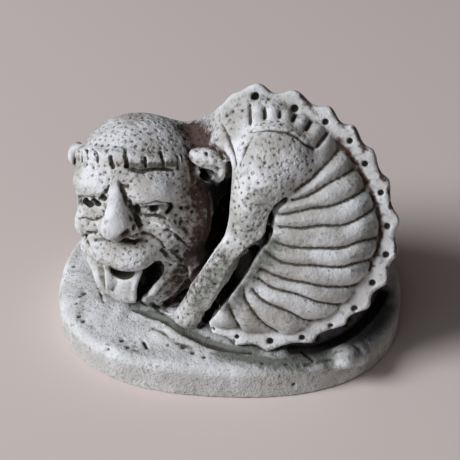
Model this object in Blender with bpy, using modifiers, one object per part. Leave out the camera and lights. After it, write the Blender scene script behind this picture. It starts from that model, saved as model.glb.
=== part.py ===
"""A small gargoyle cast in one piece: a curled, ribbed beast with a scalloped crest, on an oval slab.

The crest lies in the beast's own middle plane, which leans back over the slab. The head looks out of the curl
at the front left, and one limb comes down between the head and the ribs. Metres, +Z up. The origin is the
middle of the slab's underside, the slab's length runs along X, and the beast faces -Y.

The slab, the crest's thickness and the drilled holes have sizes of their own. The figure is free form: its
places and proportions are in units of a share of the figure's height, from the middle of the slab's top.
"""

import math

import bmesh
import bpy
from mathutils import Matrix, Vector

# Slab
SLAB_LENGTH = 0.100
SLAB_DEPTH = 0.084
SLAB_THICKNESS = 0.010
SLAB_TOP_ROUND = 0.0026
SLAB_BOTTOM_ROUND = 0.0008
SLAB_FULLNESS = 2.4  # the power of the superellipse: 2 is an ellipse, more is squarer
SLAB_SIDE_COUNT = 72

# Figure
FIGURE_HEIGHT = 0.066  # from the slab's top to the top of the crest
UNIT = FIGURE_HEIGHT / 66  # the figure's free forms are measured in this share of its height

# Crest
CREST_THICKNESS = 0.0032
CREST_RADIUS = 34.5 * UNIT  # to the middle of the scallops
CREST_WIDTH = 7.5 * UNIT  # the inner part of this is buried in the flank
CREST_SCALLOP = 1.1 * UNIT  # how far a lobe rises and a hollow falls from the middle
CREST_LOBE_ANGLE = math.radians(15.4)
CREST_START = math.radians(113)  # at the nape, measured round from the beast's right
CREST_END = math.radians(-114)  # under the foot
CREST_POINTS_PER_LOBE = 8
CREST_INNER_POINTS = 31
CREST_FADE_LOBES = 0.8  # the ends sink into the body over this many lobes

# Holes drilled in the crest's front, one to each lobe
HOLE_DIAMETER = 0.0017
HOLE_DEPTH = 0.0018
HOLE_RING_RADIUS = CREST_RADIUS - 2.7 * UNIT
HOLE_FIRST = math.radians(99)
HOLE_COUNT = 14
HOLE_SIDES = 8

# Faceting
VOXEL = 0.6 * UNIT
FIGURE_TRIANGLES = 7300
PINCH_PASSES = 6

STONE = (0.47, 0.46, 0.43, 1.0)
STONE_ROUGHNESS = 0.93


def turned(yaw, lean, roll):
    """The axes right, up and out of a plane that faces -Y, then yaws, leans back and rolls, in degrees."""
    yaw, lean, roll = math.radians(yaw), math.radians(lean), math.radians(roll)
    out = Vector((math.sin(yaw) * math.cos(lean), -math.cos(yaw) * math.cos(lean), math.sin(lean)))
    level = Vector((math.cos(yaw), math.sin(yaw), 0))
    rise = out.cross(level)
    right = level * math.cos(roll) + rise * math.sin(roll)
    up = rise * math.cos(roll) - level * math.sin(roll)
    return Matrix((right, up, out)).transposed().to_4x4()


def figure_frame(centre, yaw=0.0, lean=0.0, roll=0.0):
    """The placement of a frame of the figure, whose centre is in units from the middle of the slab's top."""
    place = Vector(centre) * UNIT + Vector((0, 0, SLAB_THICKNESS))
    return Matrix.Translation(place) @ turned(yaw, lean, roll)


BEAST = Matrix.Translation((0, 0, SLAB_THICKNESS))
TRUNK = figure_frame((10.6, -17.8, 31.4), yaw=-8, lean=26)
HEAD = figure_frame((-26, -3, 31), yaw=-14, lean=16, roll=2)

# Flank, in the trunk's frame and in units
FLANK_CENTRE = (3.2, -0.5)
FLANK_REACH = (25.8, 27.7)
FRONT_RISE, BACK_RISE = 10.4, 15.0
RIB_RELIEF = 2.2
RIB_COUNT = 17
RIB_TOP_ANGLE, RIB_STEP, RIB_SPREAD = 104, 8.0, 0.30  # degrees: each rib is a little wider than the last
RIB_CLEARANCE = 2.35 * UNIT  # from a rib's tip to the holes in the crest
RIB_OUTER_RADIUS = (HOLE_RING_RADIUS - HOLE_DIAMETER / 2 - RIB_CLEARANCE) / UNIT
RIB_SAG = 2.2
RIB_ROOTS = ((0.0, 17.0), (5.2, 8.8), (4.0, -2.0), (0.0, -14.0), (-6.5, -21.0))
RIB_ROOT_AT = (0.0, 6.0, 9.5, 12.5, 17.0)  # the ribs that start at those roots, counted from the nape
RIB_STEPS = 7
RIB_FULLNESS = 0.54  # a rib's radius as a share of its width
RIB_SINK = 0.7  # how much of its radius a rib's middle lies under the skin

# Face
FACE_SKEW = 1.6  # the mouth sits this far to the viewer's right of the nose bridge
TUFT_COUNT = 11

made = {}


def clear_scene():
    for old in list(bpy.data.objects):
        bpy.data.objects.remove(old, do_unlink=True)
    for name in ("gargoyle casting", "cutters"):
        collection = bpy.data.collections.new(name)
        bpy.context.scene.collection.children.link(collection)
        made[name] = collection


def object_of(name, data, matrix=None):
    """A new object in the scene, with its data and its place."""
    obj = bpy.data.objects.new(name, data)
    made["gargoyle casting"].objects.link(obj)
    if matrix is not None:
        obj.matrix_world = matrix
    return obj


def close_pinches(bm):
    """Opens and refills the places where a skin touches itself along an edge."""
    for _ in range(PINCH_PASSES):
        pinched = {vert for edge in bm.edges if len(edge.link_faces) != 2 for vert in edge.verts}
        if not pinched:
            return
        around = {face for vert in pinched for face in vert.link_faces}
        bmesh.ops.delete(bm, geom=list(around), context="FACES")
        loose = [vert for vert in bm.verts if not vert.link_faces]
        bmesh.ops.delete(bm, geom=loose, context="VERTS")
        bmesh.ops.holes_fill(bm, edges=[edge for edge in bm.edges if edge.is_boundary], sides=0)


def baked(source, name):
    """The evaluated object as a plain mesh object with its place in its mesh. The source is removed."""
    bpy.context.view_layer.update()
    evaluated = source.evaluated_get(bpy.context.evaluated_depsgraph_get())
    mesh = bpy.data.meshes.new_from_object(evaluated)
    mesh.transform(source.matrix_world)
    bm = bmesh.new()
    bm.from_mesh(mesh)
    bmesh.ops.remove_doubles(bm, verts=bm.verts, dist=1e-6)
    close_pinches(bm)
    bmesh.ops.recalc_face_normals(bm, faces=bm.faces)
    bm.to_mesh(mesh)
    bm.free()
    bpy.data.objects.remove(source, do_unlink=True)
    return object_of(name, mesh)


def ellipsoid(frame, centre, radii, lean=0.0):
    """A ball stretched along the frame's axes and turned in its face by lean degrees, in units."""
    bm = bmesh.new()
    bmesh.ops.create_uvsphere(bm, u_segments=28, v_segments=18, radius=1.0)
    mesh = bpy.data.meshes.new("ellipsoid")
    bm.to_mesh(mesh)
    bm.free()
    size = Matrix.Diagonal((*(Vector(radii) * UNIT), 1.0))
    turn = Matrix.Rotation(math.radians(lean), 4, "Z")
    mesh.transform(frame @ Matrix.Translation(Vector(centre) * UNIT) @ turn @ size)
    return object_of("ellipsoid", mesh)


def tube(frame, stations):
    """A soft tube through stations of x, y, z and radius, in units of the frame, with round ends."""
    curve = bpy.data.curves.new("tube", "CURVE")
    curve.dimensions = "3D"
    curve.bevel_depth = UNIT
    curve.bevel_resolution = 3
    curve.resolution_u = 5
    curve.use_fill_caps = True
    spline = curve.splines.new("BEZIER")
    spline.bezier_points.add(len(stations) - 1)
    for point, (x, y, z, radius) in zip(spline.bezier_points, stations):
        point.co = Vector((x, y, z)) * UNIT
        point.radius = radius
        point.handle_left_type = point.handle_right_type = "AUTO"
    body = baked(object_of("tube", curve, frame), "tube")
    ends = [ellipsoid(frame, end[:3], (end[3],) * 3) for end in (stations[0], stations[-1])]
    return joined([body, *ends], "tube")


def joined(objects, name):
    """Several mesh objects as one, overlapping as they are."""
    bm = bmesh.new()
    for obj in objects:
        mesh = obj.data
        mesh.transform(obj.matrix_world)
        bm.from_mesh(mesh)
        bpy.data.objects.remove(obj, do_unlink=True)
    mesh = bpy.data.meshes.new(name)
    bm.to_mesh(mesh)
    bm.free()
    return object_of(name, mesh)


def fused(obj, name, smooth=1):
    """Overlapping closed forms melted into one closed skin."""
    remesh = obj.modifiers.new("melt", "REMESH")
    remesh.mode = "VOXEL"
    remesh.voxel_size = VOXEL
    if smooth:
        soften = obj.modifiers.new("soften", "SMOOTH")
        soften.factor = 0.5
        soften.iterations = smooth
    return baked(obj, name)


def combined(obj, other, operation):
    """The Boolean of two closed meshes as a plain mesh. The other is removed."""
    boolean = obj.modifiers.new(operation.lower(), "BOOLEAN")
    boolean.operation = operation
    boolean.object = other
    result = baked(obj, obj.name)
    bpy.data.objects.remove(other, do_unlink=True)
    return result


def between(stops, values, at):
    """The value at a place among stops, on straight runs between them."""
    at = min(max(at, stops[0]), stops[-1])
    for (a, b), (low, high) in zip(zip(stops, stops[1:]), zip(values, values[1:])):
        if at <= b:
            share = (at - a) / (b - a)
            return tuple(x + (y - x) * share for x, y in zip(low, high))
    return values[-1]


def rib_line(number, along):
    """The place on the flank of a rib, or of the groove between two, from its root to the crest."""
    angle = math.radians(RIB_TOP_ANGLE - RIB_STEP * number - RIB_SPREAD * number * number)
    root = between(RIB_ROOT_AT, RIB_ROOTS, number)
    tip = (RIB_OUTER_RADIUS * math.cos(angle), RIB_OUTER_RADIUS * math.sin(angle))
    sag = RIB_SAG * 4 * along * (1 - along)
    x = root[0] + (tip[0] - root[0]) * along
    y = root[1] + (tip[1] - root[1]) * along - sag
    return x, y


def flank_rise(x, y, side):
    """How far out of the crest's plane the skin over the ribs stands, on the front or the back."""
    a = (x - FLANK_CENTRE[0]) / FLANK_REACH[0]
    b = (y - FLANK_CENTRE[1]) / FLANK_REACH[1]
    middle = (FRONT_RISE - BACK_RISE) / 2
    half = (FRONT_RISE + BACK_RISE) / 2
    return middle + side * half * math.sqrt(max(0.0, 1 - a * a - b * b))


def ribs(side):
    """The ribs of one flank: side is 1 for the front and -1 for the back."""
    for number in range(RIB_COUNT):
        stations = []
        for step in range(RIB_STEPS):
            along = step / (RIB_STEPS - 1)
            x, y = rib_line(number + 0.5, along)
            near = Vector(rib_line(number, along))
            far = Vector(rib_line(number + 1, along))
            radius = max(1.2, RIB_FULLNESS * (far - near).length)
            out = flank_rise(x, y, side) - side * RIB_SINK * radius
            stations.append((x, y, out, radius))
        yield tube(TRUNK, stations)


def trunk_forms():
    """The curled body: a ribbed flank on each side of the crest, the neck and what carries them."""
    front, back = FRONT_RISE - RIB_RELIEF, BACK_RISE - RIB_RELIEF
    yield ellipsoid(TRUNK, (*FLANK_CENTRE, (front - back) / 2), (*FLANK_REACH, (front + back) / 2))
    yield from ribs(1)
    yield from ribs(-1)
    yield tube(BEAST, ((-22, 7, 33, 12.5), (-7, 8, 34, 10.5), (4, 2, 42, 11), (13, -5, 46.5, 11)))
    yield tube(TRUNK, ((-19, 18, -8, 3.2), (-13, 25.8, -4, 4.4), (-7, 30.2, -1, 4.2), (0, 29.8, 0, 3.0)))
    yield tube(TRUNK, ((-9, 21, -1, 7.5), (4, 24, -1, 5.5), (14, 20.5, -2, 5)))
    yield ellipsoid(BEAST, (7, -5, 9), (21, 17, 14))
    yield ellipsoid(BEAST, (-15, 5, 13), (14, 13, 18))


def back_forms():
    """What the photograph doesn't show: the far limb, the thigh with its foot, and the tail round the back."""
    yield tube(BEAST, ((12, 2, 38, 9.5), (6, 12, 27, 7.6), (-2, 18.5, 14, 5.6), (-7.5, 21.5, 4, 4.6)))
    yield ellipsoid(BEAST, (-8.5, 23, 2), (5.2, 5.6, 4.2))
    yield ellipsoid(BEAST, (22, 3, 13), (13.5, 13, 15), lean=-18)
    yield tube(BEAST, ((26, 11, 7, 5.6), (23, 19, 2.6, 4.4), (17, 24, 1.6, 3.8)))
    yield tube(BEAST, ((35, -8, 3, 4.2), (38.5, 4, 1.6, 3.8), (36, 15, 1.2, 3.2), (30, 23, 1, 2.6), (24, 28.5, 0.6, 1.8)))


def limb_forms():
    """The shoulder and the limb that comes down from it to the slab."""
    yield ellipsoid(TRUNK, (0.8, 13.6, 5.5), (10.6, 10.4, 8.8))
    yield tube(
        TRUNK,
        ((-0.8, 11, 6.0, 8.8), (-2.0, 4, 7.0, 7.6), (-3.6, -3, 6.8, 6.4), (-8.6, -12, 5.0, 5.6),
         (-13.6, -20, 1.6, 5.0), (-18.6, -27.6, -1.6, 4.4)),
    )
    yield ellipsoid(TRUNK, (-19.3, -28.8, -1.6), (4.7, 3.8, 4.8))


def mirrored(x, y, z, side, middle=0.0):
    """A place on the face, set out to one side of its middle line."""
    return middle + side * x, y, z


def head_forms():
    """The skull, face and ears, without what lies in the mouth."""
    yield ellipsoid(HEAD, (0.8, 4, -1), (18.3, 17.2, 18))
    yield ellipsoid(HEAD, (0.6, -6, 0.5), (16.8, 14, 14.5))
    yield ellipsoid(HEAD, (3.6, -6, -4.5), (18.8, 17.5, 13.5))
    yield ellipsoid(HEAD, (2, -16.4, 1), (14.2, 12.4, 11.5))
    yield ellipsoid(HEAD, (2, -24.4, 4), (9.5, 6, 7.2))
    for number in range(TUFT_COUNT):
        angle = math.radians(-72 + 146 * number / (TUFT_COUNT - 1))
        place = (1.0 + 17.0 * math.sin(angle), 13.2, -1 + 15.6 * math.cos(angle))
        yield ellipsoid(HEAD, place, (2.6, 2.7, 2.2))
    for side in (-1, 1):
        yield ellipsoid(HEAD, mirrored(8.2, 4.6, 12.4, side, 0.6), (6.4, 4.2, 4.2), lean=4 * side)
        yield ellipsoid(HEAD, mirrored(9.0, -7.4, 10.8, side, 1.4), (6.0, 5.0, 3.8), lean=-14 * side)
        yield ellipsoid(HEAD, mirrored(4.0, -6.4, 15.0, side, 1.1), (2.2, 2.6, 2.8))
    yield tube(HEAD, ((0.3, 7.5, 14.6, 1.9), (0.7, 1.5, 16.4, 2.4), (1.1, -4.6, 17.6, 3.6)))
    yield ellipsoid(HEAD, (1.2, -5.6, 18.2), (4.4, 3.5, 3.9))
    yield tube(
        HEAD,
        ((-10.4, -14.6, 9.5, 2.8), (-5.5, -12.6, 13.0, 4.0), (FACE_SKEW, -12.2, 14.6, 4.5),
         (8.6, -12.8, 12.8, 4.2), (15.4, -17.0, 7.4, 2.4)),
    )
    yield ellipsoid(HEAD, (21.4, 10.6, 3.0), (5.6, 5.4, 3.6), lean=-20)
    yield ellipsoid(HEAD, (-16.0, 9.4, 0.5), (3.2, 4.4, 3.0), lean=20)


def mouth_forms():
    """The tongue, the lower lip and the eyes, which stand inside hollows."""
    yield ellipsoid(HEAD, (1.0, -23.4, 8.0), (6.6, 7.6, 4.4))
    yield tube(HEAD, ((-4.6, -16.5, 10.0, 1.2), (-5.0, -22, 11.4, 1.4), (-3.6, -27.4, 11.4, 2.0)))
    yield tube(HEAD, ((6.2, -16.5, 10.8, 1.3), (6.2, -22, 11.8, 1.5), (4.4, -27.4, 11.6, 2.1)))
    yield tube(HEAD, ((15.6, -17.0, 6.0, 1.6), (12.4, -22.5, 8.0, 2.1), (7.0, -27.2, 9.2, 2.6)))
    yield tube(HEAD, ((-11.6, -15.6, 7.6, 1.2), (-9.6, -21.5, 8.8, 1.5), (-5.6, -27.2, 10.0, 2.3)))
    for side in (-1, 1):
        yield ellipsoid(HEAD, mirrored(9.6, -1.0, 11.7, side, 0.6), (4.2, 2.2, 2.6))


def head_hollows():
    """The mouth, eye sockets, nostrils and the hollow of the near ear."""
    yield tube(HEAD, ((-6, -19, 12, 3.2), (2, -19.5, 14, 4.2), (10, -19.3, 11, 4.0)))
    yield tube(HEAD, ((8.8, -19, 12, 4.0), (8.4, -23.5, 13.0, 3.2), (6.2, -28, 13.5, 1.8)))
    yield tube(HEAD, ((-6.4, -19, 12, 2.8), (-6.6, -23.5, 13.0, 2.3), (-5.0, -28, 13.5, 1.4)))
    for side in (-1, 1):
        yield ellipsoid(HEAD, mirrored(9.6, -1.2, 14.4, side, 0.6), (5.4, 2.3, 3.2))
        yield ellipsoid(HEAD, mirrored(2.6, -8.6, 18.0, side, 1.2), (1.5, 1.2, 2.0))
    yield ellipsoid(HEAD, (21.2, 9.0, 6.6), (2.7, 3.0, 2.8))


def body_hollows():
    """The throat between head and limb, and the deep line between limb and ribs."""
    yield ellipsoid(TRUNK, (-20, 0, 5.5), (12, 21, 12.5), lean=-14)
    yield tube(
        TRUNK,
        ((6.4, 7.5, 11.5, 1.4), (4.2, -1, 10.8, 2.0), (1.0, -10, 10.0, 2.6), (-6, -19, 7.0, 2.6),
         (-12.5, -27, 3.4, 1.8)),
    )


def slab_forms():
    """The low lumps of the slab's top: the step under the beast and its foot, a knob and the swell at the left."""
    yield ellipsoid(BEAST, (6, -6, -1.5), (35, 27, 3.3), lean=-10)
    yield ellipsoid(BEAST, (-10, -25.5, -1), (10, 7.5, 4.0), lean=24)
    yield ellipsoid(BEAST, (33, -25.5, -0.6), (5.2, 4.0, 1.9), lean=20)
    yield ellipsoid(BEAST, (-38, -13, -1.6), (8.5, 13, 3.4), lean=24)


def slab():
    """The oval slab, rounder at its top edge than at its bottom edge."""
    outline = bpy.data.curves.new("slab", "CURVE")
    outline.dimensions = "2D"
    outline.fill_mode = "BOTH"
    outline.extrude = SLAB_THICKNESS / 2
    spline = outline.splines.new("POLY")
    spline.points.add(SLAB_SIDE_COUNT - 1)
    spline.use_cyclic_u = True
    for number, point in enumerate(spline.points):
        angle = 2 * math.pi * number / SLAB_SIDE_COUNT
        x, y = math.cos(angle), math.sin(angle)
        x = math.copysign(abs(x) ** (2 / SLAB_FULLNESS), x) * SLAB_LENGTH / 2
        y = math.copysign(abs(y) ** (2 / SLAB_FULLNESS), y) * SLAB_DEPTH / 2
        point.co = (x, y, 0, 1)
    block = baked(object_of("slab", outline, Matrix.Translation((0, 0, SLAB_THICKNESS / 2))), "slab")
    bm = bmesh.new()
    bm.from_mesh(block.data)
    bmesh.ops.dissolve_limit(bm, angle_limit=math.radians(1), verts=bm.verts, edges=bm.edges)
    weight = bm.edges.layers.float.new("bevel_weight_edge")
    for edge in bm.edges:
        low, high = sorted(vert.co.z for vert in edge.verts)
        rim = len(edge.link_faces) == 2 and edge.calc_face_angle() > math.radians(60)
        if rim and low > 0.9 * SLAB_THICKNESS:
            edge[weight] = 1.0
        elif rim and high < 0.1 * SLAB_THICKNESS:
            edge[weight] = SLAB_BOTTOM_ROUND / SLAB_TOP_ROUND
    bm.to_mesh(block.data)
    bm.free()
    bevel = block.modifiers.new("round the edges", "BEVEL")
    bevel.width = SLAB_TOP_ROUND
    bevel.segments = 3
    bevel.limit_method = "WEIGHT"
    return baked(block, "slab")


def crest():
    """The scalloped flange that follows the beast's back, in the trunk's middle plane."""
    lobes = (CREST_START - CREST_END) / CREST_LOBE_ANGLE
    count = round(lobes * CREST_POINTS_PER_LOBE)
    points = []
    inner_radius = CREST_RADIUS - CREST_WIDTH
    for number in range(count + 1):
        angle = CREST_START + (CREST_END - CREST_START) * number / count
        wave = math.cos(2 * math.pi * (angle - HOLE_FIRST) / CREST_LOBE_ANGLE)
        to_end = min(number, count - number) / (CREST_FADE_LOBES * CREST_POINTS_PER_LOBE)
        height = math.sin(math.pi / 2 * min(1.0, to_end)) ** 0.5
        radius = inner_radius + (CREST_WIDTH + CREST_SCALLOP * wave) * (0.4 + 0.6 * height)
        points.append((radius * math.cos(angle), radius * math.sin(angle)))
    for number in range(CREST_INNER_POINTS):
        angle = CREST_END + (CREST_START - CREST_END) * number / (CREST_INNER_POINTS - 1)
        points.append((inner_radius * math.cos(angle), inner_radius * math.sin(angle)))
    outline = bpy.data.curves.new("crest", "CURVE")
    outline.dimensions = "2D"
    outline.fill_mode = "BOTH"
    outline.extrude = CREST_THICKNESS / 2
    spline = outline.splines.new("POLY")
    spline.points.add(len(points) - 1)
    spline.use_cyclic_u = True
    for point, (x, y) in zip(spline.points, points):
        point.co = (x, y, 0, 1)
    return baked(object_of("crest", outline, TRUNK), "crest")


def drills():
    """The cutters of the crest's holes."""
    bits = []
    for number in range(HOLE_COUNT):
        angle = HOLE_FIRST - CREST_LOBE_ANGLE * number
        bm = bmesh.new()
        bmesh.ops.create_cone(
            bm, cap_ends=True, segments=HOLE_SIDES, radius1=HOLE_DIAMETER / 2, radius2=HOLE_DIAMETER / 2,
            depth=2 * HOLE_DEPTH,
        )
        mesh = bpy.data.meshes.new("drill")
        bm.to_mesh(mesh)
        bm.free()
        place = Vector((HOLE_RING_RADIUS * math.cos(angle), HOLE_RING_RADIUS * math.sin(angle), CREST_THICKNESS / 2))
        mesh.transform(TRUNK @ Matrix.Translation(place))
        bits.append(object_of("drill", mesh))
    return joined(bits, "drills")


def stone():
    """Weathered cast stone."""
    material = bpy.data.materials.new("weathered cast stone")
    material.use_nodes = True
    shader = material.node_tree.nodes["Principled BSDF"]
    shader.inputs["Base Color"].default_value = STONE
    shader.inputs["Roughness"].default_value = STONE_ROUGHNESS
    shader.inputs["Metallic"].default_value = 0.0
    return material


def cut(figure, hollows):
    """The figure with each hollow taken out of it."""
    for hollow in list(hollows):
        figure = combined(figure, fused(hollow, "hollow", smooth=0), "DIFFERENCE")
    return figure


def figure():
    """The whole beast and the slab's low lumps as one skin of few facets."""
    body = cut(fused(joined([*trunk_forms(), *back_forms()], "body"), "body", smooth=0), body_hollows())
    head = cut(fused(joined(head_forms(), "head"), "head", smooth=0), head_hollows())
    beast = fused(joined([body, head, *limb_forms(), *mouth_forms(), *slab_forms()], "beast"), "beast")
    thin = beast.modifiers.new("fewer facets", "DECIMATE")
    thin.ratio = FIGURE_TRIANGLES / (2 * len(beast.data.polygons))
    return baked(beast, "beast")


def build():
    clear_scene()
    beast = combined(figure(), crest(), "UNION")
    casting = combined(slab(), beast, "UNION")
    casting = combined(casting, drills(), "DIFFERENCE")
    casting.name = "gargoyle"
    casting.data.materials.clear()
    casting.data.materials.append(stone())
    casting.data.shade_smooth()
    casting.data.set_sharp_from_angle(angle=math.radians(40))


build()
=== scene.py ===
"""A cast-stone gargoyle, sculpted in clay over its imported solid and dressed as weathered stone.

The object is one casting, so it is one piece here: a curled, ribbed beast with a scalloped crest, which
lies on an oval slab and puts its tongue out. The clay is a block of cells that hold the distance to the
skin. Forms are laid on and cut out of it in millimetres, its skin becomes a mesh, and Geometry Nodes
then weather that mesh and prick the pits that cover the beast's hide.

A place in the picture is given in pixels across and down, and is sighted from the photograph's
viewpoint. A line drawn there is a row of such marks. A mark may have its own share of the line's width
as a third value.
"""

import logging
import math
import sys
from dataclasses import dataclass, field
from enum import Enum
from typing import Protocol

import bmesh
import bpy
import numpy as np
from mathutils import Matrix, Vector


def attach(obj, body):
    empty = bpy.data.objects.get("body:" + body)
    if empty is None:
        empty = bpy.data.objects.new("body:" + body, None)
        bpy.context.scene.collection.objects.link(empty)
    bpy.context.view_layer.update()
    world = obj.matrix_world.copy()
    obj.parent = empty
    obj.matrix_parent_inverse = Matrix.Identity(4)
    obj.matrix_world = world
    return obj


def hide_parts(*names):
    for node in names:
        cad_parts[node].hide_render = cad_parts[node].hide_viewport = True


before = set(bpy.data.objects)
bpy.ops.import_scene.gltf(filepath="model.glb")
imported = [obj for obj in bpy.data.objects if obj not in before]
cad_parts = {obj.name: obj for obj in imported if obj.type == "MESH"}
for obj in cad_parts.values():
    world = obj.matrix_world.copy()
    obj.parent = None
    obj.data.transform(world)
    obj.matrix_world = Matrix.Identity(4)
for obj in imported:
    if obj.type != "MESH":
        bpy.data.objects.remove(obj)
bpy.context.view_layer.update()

LOG = logging.getLogger("gargoyle")
MM = 0.001  # metres in a millimetre, the sculptor's unit
FAR = 40.0  # millimetres: the clay's value where nothing is near

Tree = bpy.types.NodeTree
Socket = bpy.types.NodeSocket
Point = tuple[float, float, float]
Station = tuple[float, float, float, float]
Turn = tuple[float, float]  # an angle in degrees and a radius
Mark = tuple[float, ...]  # pixels across and down, and a share of the line's width or none
Stroke = tuple[tuple[Mark, ...], float, float]  # a line, its width and how deep, high or strong it is


def linear(hex_colour: str) -> tuple[float, float, float, float]:
    """Turns an sRGB hex colour to linear light.

    Args:
        hex_colour: six hex digits, with or without a leading hash sign.

    Returns:
        Red, green, blue and an alpha of one.
    """
    digits = hex_colour.lstrip("#")
    channels = [int(digits[i : i + 2], 16) / 255 for i in (0, 2, 4)]
    values = [c / 12.92 if c <= 0.04045 else ((c + 0.055) / 1.055) ** 2.4 for c in channels]
    return values[0], values[1], values[2], 1.0


def add_node(tree: Tree, kind: str, feeds: dict | None = None, **settings) -> bpy.types.Node:
    """Adds a node with its settings and what feeds its sockets.

    Args:
        tree: the node tree.
        kind: the node's type name.
        feeds: socket name or number to a value, or to the output socket that is linked to it.
        **settings: attributes set on the node first.

    Returns:
        The new node.
    """
    node = tree.nodes.new(kind)
    for name, value in settings.items():
        setattr(node, name, value)
    for key, value in (feeds or {}).items():
        if isinstance(value, Socket):
            tree.links.new(value, node.inputs[key])
        else:
            node.inputs[key].default_value = value
    return node


def placed(name: str, data: bpy.types.ID) -> bpy.types.Object:
    """Puts a mesh, lamp or camera into the scene.

    Args:
        name: what it is called.
        data: the mesh, lamp or camera.

    Returns:
        The object that shows it.
    """
    thing = bpy.data.objects.new(name, data)
    bpy.context.scene.collection.objects.link(thing)
    return thing


class Finish(Enum):
    """How a part of the skin was worked while the clay was soft."""

    SMOOTH = 0
    STIPPLED = 1
    RIBBED = 2
    SLAB = 3
    CREST = 4
    SPARSE = 5


@dataclass(frozen=True)
class Pose:
    """A frame with right, up and out axes: unturned it faces -Y, then it yaws, leans back and rolls."""

    centre: Point
    yaw: float = 0.0
    lean: float = 0.0
    roll: float = 0.0

    @property
    def axes(self) -> np.ndarray:
        """Works out the frame's axes.

        Returns:
            The right, up and out axes as rows.
        """
        yaw, lean, roll = (math.radians(angle) for angle in (self.yaw, self.lean, self.roll))
        out = np.array([math.sin(yaw) * math.cos(lean), -math.cos(yaw) * math.cos(lean), math.sin(lean)])
        level = np.array([math.cos(yaw), math.sin(yaw), 0.0])
        rise = np.cross(out, level)
        right = level * math.cos(roll) + rise * math.sin(roll)
        up = rise * math.cos(roll) - level * math.sin(roll)
        return np.array([right, up, out])

    def world(self, points: np.ndarray) -> np.ndarray:
        """Points of the frame as points of the clay."""
        return np.asarray(self.centre) + np.asarray(points, float) @ self.axes


SLAB_TOP = 10.0  # millimetres
LEVEL = Pose((0.0, 0.0, 0.0), lean=90)  # its axes are X, Y and Z
BEAST = Pose((0.0, 0.0, SLAB_TOP), lean=90)  # the same, from the slab's top
TRUNK = Pose((10.6, -17.8, SLAB_TOP + 31.4), yaw=-8, lean=26)  # right and up lie in the crest's plane
HEAD = Pose((-26.0, -3.0, SLAB_TOP + 31.0), yaw=-14, lean=16, roll=2)  # out is where the face looks


@dataclass(frozen=True)
class Window:
    """The coordinates of a box of the clay's cells, one array along each axis."""

    x: np.ndarray
    y: np.ndarray
    z: np.ndarray

    @property
    def shape(self) -> tuple[int, int, int]:
        """How many cells the box has each way."""
        return len(self.x), len(self.y), len(self.z)

    def along(self, origin: np.ndarray, axis: np.ndarray) -> np.ndarray:
        """Measures the cells along an axis.

        Args:
            origin: where the measure starts.
            axis: the axis, of length one.

        Returns:
            How far each cell lies from the origin along the axis.
        """
        x, y, z = (
            ((line - start) * share).astype(np.float32)
            for line, start, share in zip((self.x, self.y, self.z), origin, axis)
        )
        return x[:, None, None] + y[None, :, None] + z[None, None, :]

    def slices(self, low: np.ndarray, high: np.ndarray) -> tuple[slice, slice, slice]:
        """Finds the cells between two corners.

        Args:
            low: the lowest corner.
            high: the highest corner.

        Returns:
            Their slices along each axis.
        """
        x, y, z = (
            slice(int(np.searchsorted(line, a)), int(np.searchsorted(line, b)))
            for line, a, b in zip((self.x, self.y, self.z), low, high)
        )
        return x, y, z

    def part(self, slices: tuple[slice, slice, slice]) -> "Window":
        """The window of some of its cells."""
        return Window(self.x[slices[0]], self.y[slices[1]], self.z[slices[2]])


class Form(Protocol):
    """A shape that is laid on the clay or cut out of it."""

    def box(self) -> tuple[np.ndarray, np.ndarray]:
        """Its lowest and highest corners."""

    def distance(self, cells: Window) -> np.ndarray:
        """How far each cell lies outside its skin, below nought inside."""


@dataclass(frozen=True)
class Ball:
    """A ball stretched along its frame's axes and turned in its face by lean degrees."""

    pose: Pose
    centre: Point
    radii: Point
    lean: float = 0.0

    def _turned(self) -> tuple[np.ndarray, np.ndarray]:
        """Places the ball in the clay.

        Returns:
            Its middle, and its own axes as rows.
        """
        right, up, out = self.pose.axes
        c, s = math.cos(math.radians(self.lean)), math.sin(math.radians(self.lean))
        axes = np.array([right * c + up * s, up * c - right * s, out])
        return self.pose.world(np.array(self.centre)), axes

    def box(self) -> tuple[np.ndarray, np.ndarray]:
        """Works out what the ball spans.

        Returns:
            Its lowest and highest corners.
        """
        middle, axes = self._turned()
        half = np.sqrt(((axes * np.array(self.radii)[:, None]) ** 2).sum(axis=0))
        return middle - half, middle + half

    def distance(self, cells: Window) -> np.ndarray:
        """Measures how far cells lie from the ball.

        Args:
            cells: the cells.

        Returns:
            How far each lies outside its skin, which is near enough close to the skin.
        """
        middle, axes = self._turned()
        near = np.zeros(cells.shape, np.float32)
        slope = np.zeros(cells.shape, np.float32)
        for axis, radius in zip(axes, self.radii):
            share = cells.along(middle, axis) / np.float32(radius)
            near += share * share
            slope += (share / np.float32(radius)) ** 2
        near = np.sqrt(near)
        return near * (near - 1) / np.sqrt(np.maximum(slope, 1e-8))


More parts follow.
